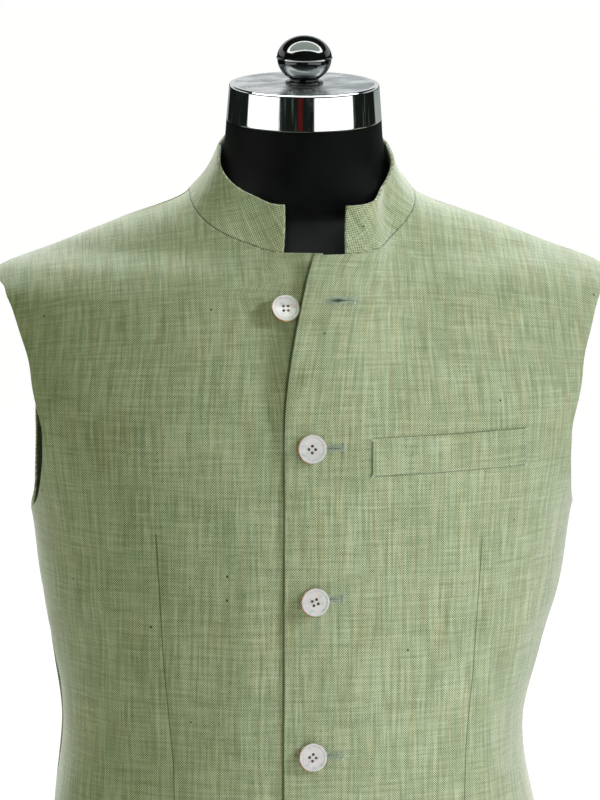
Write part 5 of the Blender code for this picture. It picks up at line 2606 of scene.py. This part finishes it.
@dataclass
class Studio:
    """The pale floor, the soft lights, the room and the camera."""

    lights: tuple[Softbox, ...] = listed(
        Softbox,
        ("key", (2.62, -1.46, 2.05), (0.0, 0.0, 0.70), (0.42, 0.70), 84.0, (1.0, 0.96, 1.28)),
        ("strip", (0.62, -2.55, 0.95), (0.06, -0.10, 0.60), (0.1, 1.1), 0.28, (1.0, 0.95, 1.20), 9.0),
        ("fill", (-2.4, -2.0, 1.2), (0.0, 0.0, 0.6), (1.6, 1.8), 3.0, (0.96, 1.0, 0.98)),
        ("top", (0.0, 0.60, 2.6), (0.0, 0.05, 0.8), (2.0, 1.2), 7.0, (1.0, 1.0, 1.0)),
        ("back", (0.0, 1.7, 2.5), (0.0, 0.05, 0.8), (2.6, 0.8), 92.0, (1.0, 1.0, 1.15)),
    )
    bands: tuple[Band, ...] = listed(
        Band,
        (-96, -41, (1.35, 1.38, 1.38)),
        (-12, -6, (0.095, 0.008, 0.009)),
        (12, 75, (1.45, 1.45, 1.45)),
        (129, 160, (0.34, 0.38, 0.34)),
        (160, 200, (0.34, 0.37, 0.39)),
    )
    dark: Triple = (0.008, 0.011, 0.009)
    speckle: Triple = (0.150, 0.190, 0.160)
    back_wall: Triple = (0.72, 0.74, 0.74)
    paper: Triple = (1.10, 1.08, 1.00)
    softbox: Triple = (10.0, 10.0, 10.0)
    softbox_middle: Triple = (2.3, 2.7, 2.4)
    ambient: Triple = (0.300, 0.312, 0.186)
    floor_tints: tuple[Triple, Triple] = ((0.86, 0.86, 0.86), (0.90, 0.90, 0.90))
    floor_glow: float = 1.10
    floor_glow_share: float = 0.88
    band_softness: float = 1.5
    bearing: float = -3.5
    distance: float = 2.6
    camera_height: float = SHOULDER_TIP_Z + 0.268
    aim_height: float = SHOULDER_TIP_Z - 0.097
    focal_length: float = 166.5
    shift: float = -1 / 800
    sensor_width: float = 36.0

    def room(self) -> None:
        """White to the camera, softly bright to the cloth, and banded to polished metal."""
        world = bpy.data.worlds.new("studio")
        bpy.context.scene.world = world
        world.use_nodes = True
        graph = Graph(world.node_tree)
        graph.tree.nodes.clear()
        ray = graph.node("ShaderNodeLightPath")
        x, y, z = graph.split(graph.node("ShaderNodeTexCoord").outputs["Generated"])
        bearing = graph.math("DEGREES", graph.math("ARCTAN2", x, graph.times(y, -1.0)))
        flecks = graph.noise(graph.combine(graph.times(bearing, 0.55), graph.times(z, 9.0)), 1.0, 2.0)
        flat = graph.mix(graph.span(flecks, 0.58, 0.76), self.dark, self.speckle)
        level = graph.times(graph.span(z, -0.46, -0.40), graph.span(z, 0.02, -0.02))
        for band, turn in itertools.product(self.bands, (0.0, -360.0)):
            start, end, soft = band.start + turn, band.end + turn, self.band_softness
            low = graph.span(bearing, start - soft, start + soft)
            high = graph.span(bearing, end + soft, end - soft)
            flat = graph.mix(graph.times(low, high, level), flat, band.tint)
        behind = graph.span(y, 0.05, 0.30)
        wall = graph.times(graph.span(z, 0.10, 0.16), graph.span(z, 0.46, 0.40), behind)
        flat = graph.mix(wall, flat, self.back_wall)
        flat = graph.mix(graph.times(graph.span(z, -0.46, -0.56), behind), flat, self.paper)
        sill = graph.scaled(graph.math("ABSOLUTE", x), 0.33, z)
        wide, deep = graph.math("DIVIDE", x, 0.90), graph.math("DIVIDE", graph.plus(y, 0.10), 0.48)
        arch = graph.plus(graph.times(wide, wide), graph.times(deep, deep))
        inside = graph.times(graph.span(sill, 0.79, 0.81), graph.span(arch, 1.03, 0.97))
        border = graph.math("MAXIMUM", graph.span(sill, 0.90, 0.87), graph.span(arch, 0.68, 0.76))
        pane = graph.mix(border, self.softbox_middle, self.softbox)
        flat = graph.mix(graph.times(inside, graph.span(z, 0.30, 0.40)), flat, pane)
        seen = None
        for tint, chosen in ((self.ambient, None), (flat, "Is Glossy Ray"), (WHITE, "Is Camera Ray")):
            shade = graph.node("ShaderNodeBackground", {"Color": tint, "Strength": 1.0}).outputs[0]
            if chosen:
                feeds = {0: ray.outputs[chosen], 1: seen, 2: shade}
                shade = graph.node("ShaderNodeMixShader", feeds).outputs[0]
            seen = shade
        graph.node("ShaderNodeOutputWorld", {"Surface": seen})

    def floor(self) -> None:
        """A wide pale floor."""
        mesh = turned_mesh("floor", [(30.0, -0.02), (30.0, 0.0)], 96)
        finish = Finish("floor_paper", 0.9, specular=0.1)
        made, graph, shader = finish.start()
        soft = graph.noise(finish.place(graph), 2.0, 3.0)
        graph.feed(shader.inputs["Base Color"], graph.mix(soft, *self.floor_tints))
        seen = graph.times(graph.node("ShaderNodeLightPath").outputs["Is Camera Ray"], self.floor_glow_share)
        glow = graph.node("ShaderNodeEmission", {"Color": WHITE, "Strength": self.floor_glow}).outputs[0]
        both = graph.node("ShaderNodeMixShader", {0: seen, 1: shader.outputs[0], 2: glow}).outputs[0]
        surface = next(node for node in graph.tree.nodes if node.bl_idname == "ShaderNodeOutputMaterial")
        graph.feed(surface.inputs["Surface"], both)
        floor = add_piece("floor", mesh, made)
        mesh.set_sharp_from_angle(angle=math.radians(30))
        floor.visible_glossy = False

    def light(self) -> None:
        """The soft lights."""
        for box in self.lights:
            lamp = bpy.data.lights.new(box.name, "AREA")
            lamp.shape = "RECTANGLE"
            lamp.size, lamp.size_y = box.size
            lamp.energy, lamp.color, lamp.spread = box.power, box.tint, math.radians(box.spread)
            made = aimed(linked(box.name, lamp), box.place, box.aim)
            made.visible_glossy = made.visible_camera = False

    def camera(self) -> None:
        """The camera, where the photograph was taken from."""
        lens = bpy.data.cameras.new("camera")
        lens.lens, lens.sensor_width, lens.sensor_fit = self.focal_length, self.sensor_width, "AUTO"
        lens.shift_x = self.shift
        bearing = math.radians(self.bearing)
        x, y = math.sin(bearing) * self.distance, -math.cos(bearing) * self.distance
        place, aim = (x, y, self.camera_height), (0.0, 0.0, self.aim_height)
        bpy.context.scene.camera = aimed(linked("camera", lens), place, aim)

    def make(self) -> None:
        """Sets the whole studio up."""
        self.room()
        self.floor()
        self.light()
        self.camera()
        view = bpy.context.scene.view_settings
        view.view_transform, view.look, view.exposure, view.gamma = "Standard", "None", 0.0, 1.0


# All of it


def main() -> None:
    """Builds every piece in order."""
    logging.basicConfig(level=logging.INFO, format="%(name)s %(message)s")
    weave, marks = weave_group(), wear_group()
    haze = {"sheen": 0.85, "sheen_roughness": 0.38, "sheen_tint": (0.98, 1.0, 0.93)}
    cloth = {"specular": 0.12, "weave": weave, **haze}
    # The straight linen carries painted shade along seams, welt edges and beside the lap.
    linen = Linen("linen_straight", 0.86, **cloth).build()
    linen_collar = Linen("linen_collar", 0.86, turn=34.0, pitch=0.00088, **cloth).build()
    # Painted shade for the buttonholes' slits.
    slit = Linen("linen_slit", 0.9, weave=weave, dark=(0.012, 0.020, 0.008), light=(0.05, 0.07, 0.03)).build()
    thread = Thread("thread_sage", 0.55, specular=0.4, sheen=0.2).build()
    # The shank thread's near-black brown is painted shade down in the buttons' holes.
    thread_and_hole_shade = Thread("thread_shank", 0.7, dark=(0.035, 0.022, 0.010), light=(0.085, 0.055, 0.026)).build()
    pearl = Pearl("mother_of_pearl", 0.16, specular=0.6, coat=0.5, coat_roughness=0.08).build()
    cover = Cover("form_cover_black", 0.50, specular=0.10, marks=marks).build()
    chrome = Chrome("chrome_polished", 0.035, metallic=1.0, marks=marks).build()
    plate = {"tint": (0.95, 0.97, 0.99), "stain": (0.55, 0.60, 0.64), "cloud": 0.16, "brushing": 0.06}
    brushed = Chrome("chrome_plate", 0.18, metallic=1.0, marks=marks, **plate).build()
    nickel = BlackNickel("black_nickel", 0.05, specular=0.5, ior=1.85, marks=marks).build()

    form = DressForm()
    form.make_torso(cover)
    form.make_cap(chrome, brushed, nickel)
    steel = Chrome("stand_satin_steel", 0.30, metallic=1.0, marks=marks, cloud=0.08, brushing=0.04).build()
    Stand().make(steel)

    for panel in PANELS:
        panel.make(linen)
    StandCollar().make(linen_collar)
    welt = PocketWelt()
    welt.make(linen)
    welt.sew(thread)
    welt.bars(thread)
    Buttonholes().make(thread, slit)
    button = PearlButton()
    for spot in BUTTON_SPOTS:
        button.make(spot, pearl)
        button.thread(spot, thread_and_hole_shade)
    Studio().make()


if __name__ == "__main__":
    main()
